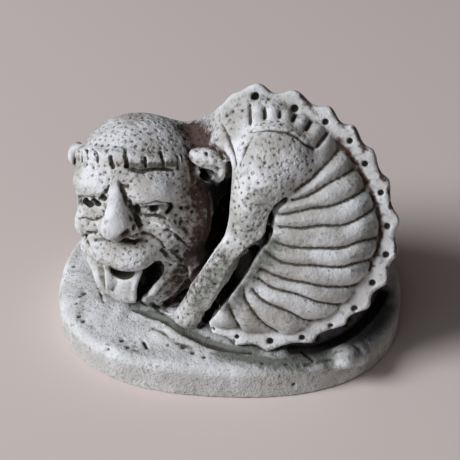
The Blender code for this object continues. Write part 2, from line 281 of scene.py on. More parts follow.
def smooth_path(stations: np.ndarray, pitch: float) -> np.ndarray:
    """A smooth line through stations, as close points.

    Args:
        stations: one row per station: coordinates first, then any other values.
        pitch: the distance between the points, measured on the first three columns.

    Returns:
        The points, as rows like the stations.
    """
    steps = np.maximum(np.linalg.norm(np.diff(stations[:, :3], axis=0), axis=1), 1e-6)
    at = np.concatenate([[0.0], np.cumsum(steps)])
    slopes = np.diff(stations, axis=0) / steps[:, None]
    tangents = np.empty_like(stations)
    tangents[0], tangents[-1] = slopes[0], slopes[-1]
    if len(stations) > 2:
        ahead, behind = steps[1:, None], steps[:-1, None]
        tangents[1:-1] = (slopes[:-1] * ahead + slopes[1:] * behind) / (ahead + behind)
    where = np.linspace(0, at[-1], max(2, math.ceil(at[-1] / pitch) + 1))
    i = np.clip(np.searchsorted(at, where, side="right") - 1, 0, len(steps) - 1)
    t = ((where - at[i]) / steps[i])[:, None]
    h = steps[i][:, None]
    return (
        (2 * t**3 - 3 * t**2 + 1) * stations[i]
        + (t**3 - 2 * t**2 + t) * h * tangents[i]
        + (3 * t**2 - 2 * t**3) * stations[i + 1]
        + (t**3 - t**2) * h * tangents[i + 1]
    )


def drawn_line(marks: tuple[Mark, ...], pitch: float = 2.0) -> np.ndarray:
    """A line through marks on the picture, as close points.

    Args:
        marks: the line.
        pitch: the distance between the points, in pixels.

    Returns:
        Rows of pixels across and down, nought, and the share of the line's width.
    """
    rows = np.array([(*mark[:2], 0.0, mark[2] if len(mark) > 2 else 1.0) for mark in marks], float)
    return smooth_path(rows, pitch) if len(rows) > 1 else rows


@dataclass(frozen=True)
class Strand:
    """A roll of clay through stations of x, y, z and radius, with round ends."""

    pose: Pose
    stations: tuple[Station, ...]
    reach: float = 4.0  # how far from its skin it still gives a distance

    def path(self) -> np.ndarray:
        """Rounds the stations to a smooth line.

        Returns:
            The roll's middle line in the clay, with the radius as fourth column.
        """
        stations = np.array(self.stations, float)
        stations[:, :3] = self.pose.world(stations[:, :3])
        path = smooth_path(stations, max(0.6, 0.3 * float(stations[:, 3].min())))
        path[:, 3] = np.maximum(path[:, 3], 0.05)
        return path

    def box(self) -> tuple[np.ndarray, np.ndarray]:
        """Its lowest and highest corners."""
        path = self.path()
        return (path[:, :3] - path[:, 3:]).min(axis=0), (path[:, :3] + path[:, 3:]).max(axis=0)

    def distance(self, cells: Window) -> np.ndarray:
        """Measures how far cells lie from the roll.

        Args:
            cells: the cells.

        Returns:
            How far each lies outside its skin, or FAR where that is out of reach.
        """
        result = np.full(cells.shape, FAR, np.float32)
        path = self.path()
        for a, b in zip(path, path[1:]):
            margin = max(a[3], b[3]) + self.reach
            slices = cells.slices(np.minimum(a, b)[:3] - margin, np.maximum(a, b)[:3] + margin)
            part = cells.part(slices)
            if 0 in part.shape:
                continue
            step = b[:3] - a[:3]
            length = max(float(np.linalg.norm(step)), 1e-6)
            on = np.clip(part.along(a[:3], step / length), 0, length)
            square = np.zeros(part.shape, np.float32)
            for k, line in enumerate((part.x, part.y, part.z)):
                shape = [1, 1, 1]
                shape[k] = -1
                offset = (line - a[k]).astype(np.float32).reshape(shape) - on * np.float32(step[k] / length)
                square += offset * offset
            radius = np.float32(a[3]) + on * np.float32((b[3] - a[3]) / length)
            found = np.sqrt(square) - radius
            result[slices] = np.minimum(result[slices], found)
        return result


@dataclass(frozen=True)
class Viewpoint:
    """Where the photograph was taken from: the camera stands there, and strokes are sighted from there."""

    azimuth: float = 3.0
    elevation: float = 35.0
    away: float = 330.0
    target: Point = (0.0, 0.0, 26.0)
    lens: float = 90.0
    film: float = 36.0
    side: int = 460  # pixels along each side of the picture

    @property
    def back(self) -> np.ndarray:
        """The direction from the target to the eye."""
        a, e = math.radians(self.azimuth), math.radians(self.elevation)
        return np.array([math.sin(a) * math.cos(e), -math.cos(a) * math.cos(e), math.sin(e)])

    @property
    def eye(self) -> np.ndarray:
        """The eye's place in millimetres."""
        return np.array(self.target) + self.back * self.away

    def rays(self, marks: np.ndarray) -> np.ndarray:
        """The lines of sight through places in the picture.

        Args:
            marks: rows that begin with the pixels across and down.

        Returns:
            A unit direction for each row.
        """
        forward = -self.back
        right = np.cross(forward, [0.0, 0.0, 1.0])
        right /= np.linalg.norm(right)
        up = np.cross(right, forward)
        focal = self.side * self.lens / self.film
        across = (marks[:, 0] - self.side / 2) / focal
        down = (marks[:, 1] - self.side / 2) / focal
        rays = forward + across[:, None] * right - down[:, None] * up
        return rays / np.linalg.norm(rays, axis=1)[:, None]

    def on(self, pose: Pose, stations: tuple[Station, ...]) -> tuple[Station, ...]:
        """Places drawn on the picture, on planes of a frame.

        Args:
            pose: the frame.
            stations: pixels across and down, the plane's height along the frame's out axis, and a radius.

        Returns:
            The stations in the frame's own x, y and z, with their radii.
        """
        rows = np.array(stations, float)
        start = (self.eye - np.array(pose.centre)) @ pose.axes.T
        run = self.rays(rows) @ pose.axes.T
        local = start + run * ((rows[:, 2] - start[2]) / run[:, 2])[:, None]
        return tuple((*point, float(row[3])) for point, row in zip(local.tolist(), rows))


def box_blur(values: np.ndarray, radius: int) -> np.ndarray:
    """Averages an array over a cube twice, which is close to a Gaussian blur.

    Args:
        values: the array.
        radius: cells on each side of the middle one.

    Returns:
        The blurred array.
    """
    for axis in range(3):
        for _ in range(2):
            padding = [(0, 0)] * 3
            padding[axis] = (radius + 1, radius)
            total = np.cumsum(np.pad(values, padding, mode="edge"), axis=axis, dtype=np.float32)
            size = 2 * radius + 1
            ends = [slice(None)] * 3
            starts = [slice(None)] * 3
            ends[axis] = slice(size, None)
            starts[axis] = slice(None, -size)
            values = (total[tuple(ends)] - total[tuple(starts)]) / size
    return values


class Clay:
    """A block of cells with the distance to the skin, below nought inside, and where it is seen from."""

    SIGHT_START = 75.0  # sighting starts this far nearer than the viewpoint's target
    SIGHT_STEPS = 420
    CLEAR = 20.0  # where the skin is farther than this, sighting takes longer steps
    STRIDE = 0.9  # the share of the way to the skin that a step of sighting takes
    LONG_STEP = 0.3
    SLOPE_CELLS = 2.2  # how many cells away the skin's slope is measured
    LEAST_RADIUS = 0.12  # of a roll drawn on the picture
    MOST_SUNK = 1.2  # the share of the width up to which such a roll is sunk deeper
    OVERLAP = 0.3  # how far a bored hole starts outside the skin

    def __init__(self, low: Point, high: Point, cell: float, view: Viewpoint) -> None:
        """Starts an empty block.

        Args:
            low: the lowest corner in millimetres.
            high: the highest corner.
            cell: the size of a cell.
            view: where places in the picture are sighted from.
        """
        self.cell = cell
        self.view = view
        self.low = np.array(low, float)
        lines = [np.arange(a, b + cell, cell) for a, b in zip(low, high)]
        self.cells = Window(lines[0], lines[1], lines[2])
        self.value = np.full(self.cells.shape, FAR, np.float32)
        self.finish = np.zeros(self.cells.shape, np.uint8)

    def _reach(self, form: Form, margin: float) -> tuple[tuple[slice, slice, slice], np.ndarray]:
        """Measures how far the cells near a form lie from it.

        Args:
            form: the form.
            margin: how far round its box the cells reach.

        Returns:
            The cells' slices and their distances.
        """
        low, high = form.box()
        slices = self.cells.slices(low - margin, high + margin)
        return slices, form.distance(self.cells.part(slices))

    def add(self, form: Form, blend: float = 1.5, finish: Finish | None = None) -> None:
        """Lays a form on, with a soft join.

        Args:
            form: the form.
            blend: how wide the join is, in millimetres.
            finish: how its skin is worked, or None to keep what is there.
        """
        slices, found = self._reach(form, blend + 2 * self.cell)
        old = self.value[slices]
        if finish is not None:
            self.finish[slices][found < old] = finish.value
        near = np.maximum(blend - np.abs(old - found), 0) / blend
        self.value[slices] = np.minimum(old, found) - near * near * (blend / 4)

    def cut(self, form: Form, blend: float = 0.6, finish: Finish | None = None) -> None:
        """Takes a form out, with a soft edge.

        Args:
            form: the form.
            blend: how wide the soft edge is, in millimetres.
            finish: how the cut's skin is worked, or None to keep what is there.
        """
        slices, found = self._reach(form, blend + 2 * self.cell)
        old = self.value[slices]
        if finish is not None:
            self.finish[slices][-found > old] = finish.value
        near = np.maximum(blend - np.abs(old + found), 0) / blend
        self.value[slices] = np.maximum(old, -found) + near * near * (blend / 4)

    def sample(self, values: np.ndarray, points: np.ndarray) -> np.ndarray:
        """Reads an array of the block's shape between its cells.

        Args:
            values: the array.
            points: rows of x, y and z in millimetres.

        Returns:
            The value at each point.
        """
        at = np.clip((points - self.low) / self.cell, 0, np.array(values.shape) - 1.001)
        i = at.astype(int)
        f = at - i
        total = np.zeros(len(points))
        for corner in range(8):
            step = np.array([corner & 1, corner >> 1 & 1, corner >> 2])
            weight = np.prod(np.where(step, f, 1 - f), axis=1)
            total += weight * values[i[:, 0] + step[0], i[:, 1] + step[1], i[:, 2] + step[2]]
        return total

    def seen(self, marks: np.ndarray) -> tuple[np.ndarray, np.ndarray]:
        """Finds the skin behind places in the picture.

        Args:
            marks: rows that begin with the pixels across and down.

        Returns:
            The points on the skin and the directions out of it there.
        """
        rays = self.view.rays(marks)
        reach = np.full(len(marks), self.view.away - self.SIGHT_START)
        for _ in range(self.SIGHT_STEPS):
            gap = self.sample(self.value, self.view.eye + rays * reach[:, None])
            reach += np.clip(gap, 0, 1.0) * self.STRIDE + (gap > self.CLEAR) * self.LONG_STEP
        points = self.view.eye + rays * reach[:, None]
        steps = np.eye(3) * self.SLOPE_CELLS * self.cell
        ahead, behind = (
            np.stack([self.sample(self.value, points + sign * step) for step in steps], axis=1)
            for sign in (1, -1)
        )
        slope = ahead - behind
        return points, slope / np.maximum(np.linalg.norm(slope, axis=1), 1e-6)[:, None]

    def facing(self, mark: Mark) -> Pose:
        """Finds how the skin faces behind a place in the picture.

        Args:
            mark: the place.

        Returns:
            A frame there whose out axis points out of the skin.
        """
        points, out = self.seen(np.array([mark], float))
        (x, y, z), (a, b, c) = points[0].tolist(), out[0].tolist()
        return Pose((x, y, z), math.degrees(math.atan2(a, -b)), math.degrees(math.asin(c)))

    def spot(self, pose: Pose, mark: Mark, out: float) -> Point:
        """The place in a frame behind a place in the picture, at a height along the frame's out axis."""
        return self.view.on(pose, ((*mark, out, 0.0),))[0][:3]

    def roll(self, pose: Pose, stations: tuple[Station, ...]) -> Strand:
        """A roll of clay through places drawn on the picture: see Viewpoint.on for the stations."""
        return Strand(pose, self.view.on(pose, stations))

    def dent(self, mark: Mark, radii: Point, depth: float, lean: float = 0.0, blend: float = 0.5) -> None:
        """Presses a ball in the skin.

        Args:
            mark: the place in the picture.
            radii: the ball's radii across, up and out.
            depth: how deep it goes.
            lean: its turn in the skin, in degrees.
            blend: how wide its soft edge is.
        """
        self.cut(Ball(self.facing(mark), (0.0, 0.0, radii[2] - depth), radii, lean), blend)

    def lump(self, mark: Mark, radii: Point, height: float, lean: float = 0.0, blend: float = 1.5) -> None:
        """Lays a ball on the skin: see dent for what it takes, with its height over the skin."""
        self.add(Ball(self.facing(mark), (0.0, 0.0, height - radii[2]), radii, lean), blend)

    def drawn(self, marks: tuple[Mark, ...], width: float, depth: float) -> Strand:
        """Rolls out clay along a line drawn on the picture, sunk in the skin.

        Args:
            marks: the line.
            width: the roll's radius in millimetres.
            depth: how far it reaches under the skin.

        Returns:
            The roll.
        """
        line = drawn_line(marks)
        points, out = self.seen(line)
        radius = np.maximum(width * line[:, 3], self.LEAST_RADIUS)
        points = points + out * (radius - depth * np.minimum(line[:, 3], self.MOST_SUNK))[:, None]
        stations = tuple((*point, float(r)) for point, r in zip(points.tolist(), radius))
        return Strand(LEVEL, stations, reach=2.0)

    def incise(self, marks: tuple[Mark, ...], width: float, depth: float, blend: float = 0.35) -> None:
        """Draws a groove in the skin along a line on the picture: see drawn for what it takes."""
        self.cut(self.drawn(marks, width, depth), blend)

    def slot(
        self,
        marks: tuple[Mark, ...],
        width: float,
        depth: float,
        blend: float,
        finish: Finish | None = None,
    ) -> None:
        """Cuts a groove that is deeper than it is wide, roll under roll.

        Args:
            marks: the line that it follows.
            width: its half width in millimetres.
            depth: how deep it goes.
            blend: how wide its soft edge is.
            finish: how its walls are worked, or None to keep what is there.
        """
        depths = (*np.arange(width, depth + 0.01, max(0.6 * width, 0.6)), depth)
        for roll in [self.drawn(marks, width, d) for d in depths]:
            self.cut(roll, blend, finish)

    def paint(self, form: Form, finish: Finish) -> None:
        """Changes how the skin inside a form is worked."""
        slices, found = self._reach(form, self.cell)
        self.finish[slices][found < 0] = finish.value

    def bore(self, marks: tuple[Mark, ...], width: float, depth: float, blend: float = 0.3) -> None:
        """Sinks a hole straight away from the eye, behind a line on the picture.

        Args:
            marks: the line.
            width: the hole's radius in millimetres.
            depth: how far it goes in.
            blend: how wide its soft edge is.
        """
        line = drawn_line(marks)
        points, _ = self.seen(line)
        for point, ray, share in zip(points, self.view.rays(line), line[:, 3]):
            ends = (point - ray * self.OVERLAP, point + ray * depth * min(share, 1.0))
            self.cut(Strand(LEVEL, tuple((*end.tolist(), width * share) for end in ends), reach=2.0), blend)

    def raise_line(self, marks: tuple[Mark, ...], width: float, height: float, blend: float = 1.0) -> None:
        """Lays a ridge on the skin along a line on the picture: see drawn for what it takes."""
        self.add(self.drawn(marks, width, 2 * width - height), blend)

    def lay(self, forms: tuple[tuple[Form, float, Finish], ...]) -> None:
        """Lays forms on in turn, each with its own blend and finish."""
        for form, blend, finish in forms:
            self.add(form, blend, finish)

    def carve(self, strokes: tuple[Stroke, ...]) -> None:
        """Incises lines in turn."""
        for marks, width, depth in strokes:
            self.incise(marks, width, depth)

    def skin(self) -> tuple[np.ndarray, np.ndarray]:
        """The skin as one net of quads, with a vertex in each cell that it passes.

        Returns:
            The vertices in millimetres, and the four vertices of each face, facing out.
        """
        inside = self.value < 0
        shape = np.array(self.value.shape) - 1
        count = np.zeros(shape, np.uint8)
        corners = [(i, j, k) for i in (0, 1) for j in (0, 1) for k in (0, 1)]
        for i, j, k in corners:
            count += inside[i : i + shape[0], j : j + shape[1], k : k + shape[2]]
        crossed = (count > 0) & (count < 8)
        places = np.argwhere(crossed)
        number = np.full(shape, -1, np.int64)
        number[crossed] = np.arange(len(places))
        values = {c: self.value[tuple((places + c).T)] for c in corners}
        total = np.zeros((len(places), 3))
        edges = np.zeros(len(places))
        for start, axis in ((corner, axis) for corner in corners for axis in range(3) if not corner[axis]):
            end = tuple(value + (k == axis) for k, value in enumerate(start))
            crosses = (values[start] < 0) != (values[end] < 0)
            share = np.where(crosses, values[start] / np.where(crosses, values[start] - values[end], 1), 0)
            spot = np.tile(np.array(start, float), (len(places), 1))
            spot[:, axis] += share
            total += spot * crosses[:, None]
            edges += crosses
        return self.low + (places + total / edges[:, None]) * self.cell, self._net(inside, number)

    @staticmethod
    def _net(inside: np.ndarray, number: np.ndarray) -> np.ndarray:
        """Joins the skin's vertices across each edge of the cells that the skin crosses.

        Args:
            inside: whether each corner of the cells lies inside.
            number: each cell's vertex.

        Returns:
            The four vertices of each face, facing out.
        """
        step = np.eye(3, dtype=int)
        faces = []
        for axis in range(3):
            u, v = (axis + 1) % 3, (axis + 2) % 3
            near, far = [slice(None)] * 3, [slice(None)] * 3
            near[axis], far[axis] = slice(None, -1), slice(1, None)
            leaves = inside[tuple(near)] & ~inside[tuple(far)]
            enters = ~inside[tuple(near)] & inside[tuple(far)]
            for crossing, flip in ((leaves, False), (enters, True)):
                at = np.argwhere(crossing)
                at = at[(at[:, u] > 0) & (at[:, v] > 0)]
                at = at[(at[:, u] < number.shape[u]) & (at[:, v] < number.shape[v])]
                cells = [at - step[u] - step[v], at - step[v], at, at - step[u]]
                ring = [number[tuple(cell.T)] for cell in cells]
                faces.append(np.stack(ring[::-1] if flip else ring, axis=1))
        return np.concatenate(faces)


@dataclass(frozen=True)
class Slab:
    """The oval slab: a superellipse with a rounder top edge than bottom edge."""

    length: float = 100.0
    depth: float = 84.0
    thickness: float = SLAB_TOP
    fullness: float = 2.4
    top_round: float = 2.6
    bottom_round: float = 0.8
    mounds: tuple[tuple[Form, float, Finish], ...] = (
        (Ball(BEAST, (6, -6, -1.5), (35, 27, 3.3), -10), 2.5, Finish.SLAB),
        (Ball(BEAST, (-10, -25.5, -1), (10, 7.5, 3.6), 24), 2.5, Finish.SLAB),
        (Ball(BEAST, (-38, -13, -1.6), (8.5, 13, 3.4), 24), 2.5, Finish.SLAB),
        (Ball(BEAST, (-30, 8, -2), (14, 20, 3.2), 10), 2.5, Finish.SLAB),
    )
    lumps: tuple[tuple[Mark, Point, float, float], ...] = (
        ((341, 358), (3.4, 3.0, 3.2), 2.3, 10), ((350, 355), (3.8, 3.2, 3.2), 2.1, 0),
        ((360, 356), (3.4, 3.0, 3.2), 2.1, -10), ((180, 333), (6.4, 1.6, 1.6), 0.5, -26),
        ((80, 304), (2.6, 4.0, 1.6), 0.4, 10), ((96, 262), (4.0, 3.0, 2.0), 0.4, 0),
        ((122, 306), (6.0, 2.2, 1.6), 0.5, 4),
    )  # place, radii, height and turn: the first three are the knob at the right
    scratches: tuple[Stroke, ...] = (
        (((134, 310, 0.6), (142, 312), (150, 315), (170, 323), (180, 330), (195, 338), (210, 345),
          (225, 349), (250, 352)), 0.9, 0.9),
        (((152, 328, 0.7), (160, 331), (170, 338, 0.8), (177, 343), (186, 346, 0.8)), 0.55, 0.35),
        (((303, 352), (308, 356), (313, 360)), 0.5, 0.9), (((153, 304), (158, 310), (168, 315)), 0.5, 0.7),
        (((150, 305), (158, 307), (170, 312)), 0.45, 0.5), (((144, 342), (147, 348)), 0.5, 0.9),
        (((306, 365), (318, 363), (330, 360)), 0.6, 0.6), (((100, 291), (104, 302)), 0.45, 0.5),
    )
    pits: tuple[tuple[Mark, float, float], ...] = (
        ((74, 266), 0.6, 0.6), ((84, 293), 0.9, 0.8), ((80, 296), 0.6, 0.6), ((98, 288), 0.5, 0.5),
        ((79, 316), 0.7, 0.7), ((83, 321), 0.6, 0.6), ((76, 303), 0.6, 0.6), ((108, 349), 0.6, 0.6),
        ((128, 347), 0.7, 0.6), ((135, 350), 0.6, 0.5), ((168, 345), 0.5, 0.5), ((183, 347), 0.7, 0.6),
        ((193, 353), 0.7, 0.5), ((204, 357), 0.6, 0.5), ((294, 385), 0.7, 0.6), ((148, 300), 0.5, 0.5),
        ((262, 363), 0.6, 0.5), ((286, 364), 0.6, 0.5), ((299, 366), 0.6, 0.5), ((122, 340), 1.1, 0.6),
        ((177, 318), 0.5, 0.5), ((211, 321), 0.5, 0.5), ((188, 315), 0.7, 0.6), ((200, 279), 0.8, 0.7),
        ((216, 285), 0.6, 0.5),
    )  # place, radius and depth

    def box(self) -> tuple[np.ndarray, np.ndarray]:
        """Its lowest and highest corners."""
        half = np.array([self.length / 2, self.depth / 2, 0.0])
        return -half, half + np.array([0.0, 0.0, self.thickness])

    def distance(self, cells: Window) -> np.ndarray:
        """Measures how far cells lie from the form.

        Args:
            cells: the cells.

        Returns:
            How far each lies outside its skin.
        """
        x, y = cells.x[:, None] / (self.length / 2), cells.y[None, :] / (self.depth / 2)
        share = (np.abs(x) ** self.fullness + np.abs(y) ** self.fullness) ** (1 / self.fullness)
        radius = np.hypot(cells.x[:, None], cells.y[None, :])
        side = (radius * (1 - 1 / np.maximum(share, 1e-3))).astype(np.float32)[:, :, None]
        height = np.abs(cells.z - self.thickness / 2) - self.thickness / 2
        over = height.astype(np.float32)[None, None, :]
        edge = np.where(cells.z > self.thickness / 2, self.top_round, self.bottom_round)
        edge = edge.astype(np.float32)[None, None, :]
        a, b = side + edge, over + edge
        outside = np.sqrt(np.maximum(a, 0) ** 2 + np.maximum(b, 0) ** 2)
        return outside + np.minimum(np.maximum(a, b), 0) - edge

    def sculpt(self, clay: Clay) -> None:
        """Lays the slab and the low mounds of its top."""
        clay.add(self, 0.5, Finish.SLAB)
        clay.lay(self.mounds)

    def dress(self, clay: Clay) -> None:
        """Marks the slab's top as the photograph shows it: a knob, ledges, scratches and odd pits.

        Args:
            clay: the block.
        """
        for mark, radii, height, lean in self.lumps:
            clay.lump(mark, radii, height, lean, 1.0)
        clay.carve(self.scratches)
        for mark, size, depth in self.pits:
            clay.dent(mark, (size, size, size), depth, 0, 0.3)


def between(marks: tuple[Turn, ...], angle: np.ndarray) -> tuple[np.ndarray, np.ndarray, np.ndarray]:
    """Finds the marks that angles lie between.

    Args:
        marks: falling angles in degrees with a radius each.
        angle: the angles, in degrees.

    Returns:
        The radii of the marks below and above each angle, and how far up between them it lies.
    """
    line = np.array(marks)[::-1]
    i = np.clip(np.searchsorted(line[:, 0], angle, side="right") - 1, 0, len(line) - 2)
    share = np.clip((angle - line[i, 0]) / (line[i + 1, 0] - line[i, 0]), 0, 1)
    return line[i, 1], line[i + 1, 1], share


def around(marks: tuple[Turn, ...], angle: np.ndarray) -> np.ndarray:
    """A radius eased between marks.

    Args:
        marks: falling angles in degrees with a radius each.
        angle: where the radius is wanted, in degrees.

    Returns:
        The radius at each angle.
    """
    low, high, share = between(marks, angle)
    ease = (0.5 - 0.5 * np.cos(np.pi * share)).astype(np.float32)
    return low.astype(np.float32) * (1 - ease) + high.astype(np.float32) * ease


@dataclass(frozen=True)
class Flank:
    """The ribbed flank, in the trunk's frame: a low dome each side of the crest, pressed with grooves."""

    view: Viewpoint
    centre: tuple[float, float] = (3.2, -0.5)
    outline: tuple[Turn, ...] = (
        (180, 26.0), (130, 28.0), (107, 31.0), (101, 30.4), (93, 29.9), (85, 28.8), (77, 28.6), (66, 28.0),
        (58, 27.3),
        (44, 26.6), (34, 26.3), (23, 26.5), (11, 27.0), (0, 27.1), (-10, 26.8), (-33, 26.3), (-45, 26.9),
        (-61, 27.3),
        (-70, 27.9), (-77, 28.8), (-91, 28.8), (-105, 29.8), (-117, 32.0), (-130, 29.0), (-180, 26.0),
    )  # angle in degrees round the centre, and the reach there
    front_rise: float = 10.6
    back_rise: float = 15.0
    fullness: float = 2.1
    rib_rise: float = 0.6
    hull_out: float = -2.3  # middle and radii of a ball that holds the flank
    hull: Point = (33.0, 33.0, 14.5)
    groove_pitch: float = 1.2  # pixels between the points of a groove's line
    first_height: float = 8.0  # where the search for a groove's height begins
    rounds: int = 8  # of that search
    groove_depth: float = 1.0  # of a line without width, and how much a millimetre of width adds
    groove_gain: float = 0.8
    groove_fade: float = 1.2
    batch: int = 64  # points of the grooves that are charted at a time
    chart_cell: float = 0.25
    chart_reach: float = 36.0
    grooves: tuple[Stroke, ...] = (
        (((287, 196), (292, 192), (300, 187), (310, 180), (320, 170), (330, 160), (337, 151),
          (342, 145)), 0.9, 1.5),
        (((283, 200), (295, 200), (303, 198), (312, 194), (320, 189), (330, 183), (340, 178), (350, 172),
          (359, 164)), 0.5, 1.6),
        (((277, 214.5), (286, 214.5), (296, 212.5), (303, 211), (312, 209), (320, 208.5), (330, 207),
          (340, 203.5), (350, 199), (360, 193), (368, 186)), 0.5, 1.4),
        (((274, 227), (290, 228), (300, 229), (312, 227.5), (320, 226.5), (330, 226.5), (340, 226.5),
          (346, 225), (354, 221.5), (362, 217), (371, 211), (377, 206)), 0.6, 1.2),
        (((272, 242), (282, 245.5), (290, 247.5), (300, 248.5), (312, 249), (325, 249), (335, 249),
          (345, 247.5), (352, 245), (360, 242), (368, 240.5), (378, 238)), 0.8, 0.9),
        (((264, 251), (270, 256), (280, 262.5), (290, 265), (300, 266), (312, 266), (322, 267), (332, 268),
          (345, 267), (355, 264), (365, 261.5), (373, 259)), 0.8, 0.9),
        (((262, 270), (272, 275), (283, 279), (293, 281.5), (303, 283), (312, 285), (322, 287),
          (332, 287.5), (345, 287.5), (355, 285.5), (364, 281)), 0.45, 0.8),
        (((258, 279), (266, 285), (275, 289.5), (285, 292), (295, 294.5), (305, 298), (315, 302),
          (325, 304), (335, 305), (343, 305)), 0.6, 0.7),
        (((252, 290), (258, 297), (265, 302.5), (275, 307), (285, 311), (295, 316), (303, 320),
          (310, 321.5), (318, 321)), 0.5, 0.8),
        (((243, 288), (244, 298), (248, 306), (254, 314), (260, 321), (266, 326), (277, 332)), 0.7, 0.7),
        (((228, 299), (229, 306), (232, 315), (236, 323), (240, 329)), 0.5, 0.6),
    )  # the groove's line on the picture, then its width at its two ends

    def _full(self, across: np.ndarray, up: np.ndarray) -> tuple[np.ndarray, np.ndarray]:
        """The reach at places round the centre, and their share of it."""
        reach = around(self.outline, np.degrees(np.arctan2(up, across)))
        return reach, np.hypot(across, up) / reach

    def _pressed(self, marks: tuple[Mark, ...], start: float, end: float) -> np.ndarray:
        """Finds where a groove runs on the flank.

        Args:
            marks: the groove's line on the picture.
            start: its width at the first mark.
            end: its width at the last.

        Returns:
            Its line in the trunk's frame, with the width as third column.
        """
        line = drawn_line(marks, self.groove_pitch)
        height = np.full(len(line), self.first_height)
        for _ in range(self.rounds):
            stations = tuple((row[0], row[1], h, 0.0) for row, h in zip(line.tolist(), height))
            local = np.array(self.view.on(TRUNK, stations))
            share = self._full(local[:, 0] - self.centre[0], local[:, 1] - self.centre[1])[1]
            left = np.maximum(1 - np.minimum(share, 1) ** self.fullness, 0)
            height = self.front_rise * left ** (1 / self.fullness)
        local[:, 2] = np.linspace(start, end, len(local))
        return local[:, :3]

    def _chart(self) -> np.ndarray:
        """Draws up how the grooves shape the flank.

        Returns:
            How high the skin stands or sinks at each place, on a square chart.
        """
        marks = np.concatenate([self._pressed(*groove) for groove in self.grooves])
        side = np.arange(-self.chart_reach, self.chart_reach, self.chart_cell)
        places = np.stack(np.meshgrid(side, side, indexing="ij"), axis=-1).reshape(-1, 2)
        lowest = np.zeros(len(places))
        for start in range(0, len(marks), self.batch):
            x, y, width = np.moveaxis(marks[None, start : start + self.batch], -1, 0)
            gap = np.hypot(places[:, None, 0] - x, places[:, None, 1] - y) / width
            depth = self.groove_depth + self.groove_gain * width
            lowest = np.maximum(lowest, (depth * np.exp(-gap / self.groove_fade)).max(axis=1))
        return (self.rib_rise - lowest).reshape(len(side), len(side)).astype(np.float32)

    def box(self) -> tuple[np.ndarray, np.ndarray]:
        """Its lowest and highest corners."""
        return Ball(TRUNK, (*self.centre, self.hull_out), self.hull).box()

    def distance(self, cells: Window) -> np.ndarray:
        """Measures how far cells lie from the form.

        Args:
            cells: the cells.

        Returns:
            How far each lies outside its skin.
        """
        middle = TRUNK.world(np.array([*self.centre, 0.0]))
        across, up, out = (cells.along(middle, axis) for axis in TRUNK.axes)
        reach, share = self._full(across, up)
        rise = np.where(out > 0, np.float32(self.front_rise), np.float32(self.back_rise))
        power = np.float32(self.fullness)
        height = np.abs(out) / rise
        near = np.maximum((share**power + height**power) ** (1 / power), 1e-3)
        slope = near ** (1 - power) * np.hypot(share ** (power - 1) / reach, height ** (power - 1) / rise)
        chart = self._chart()
        last = len(chart) - 1
        i, j = (
            np.clip((place + offset + self.chart_reach) / self.chart_cell, 0, last).astype(np.int32)
            for place, offset in ((across, self.centre[0]), (up, self.centre[1]))
        )
        return ((near - 1) / np.maximum(slope, 0.02) - chart[i, j] * (out > -4)).astype(np.float32)


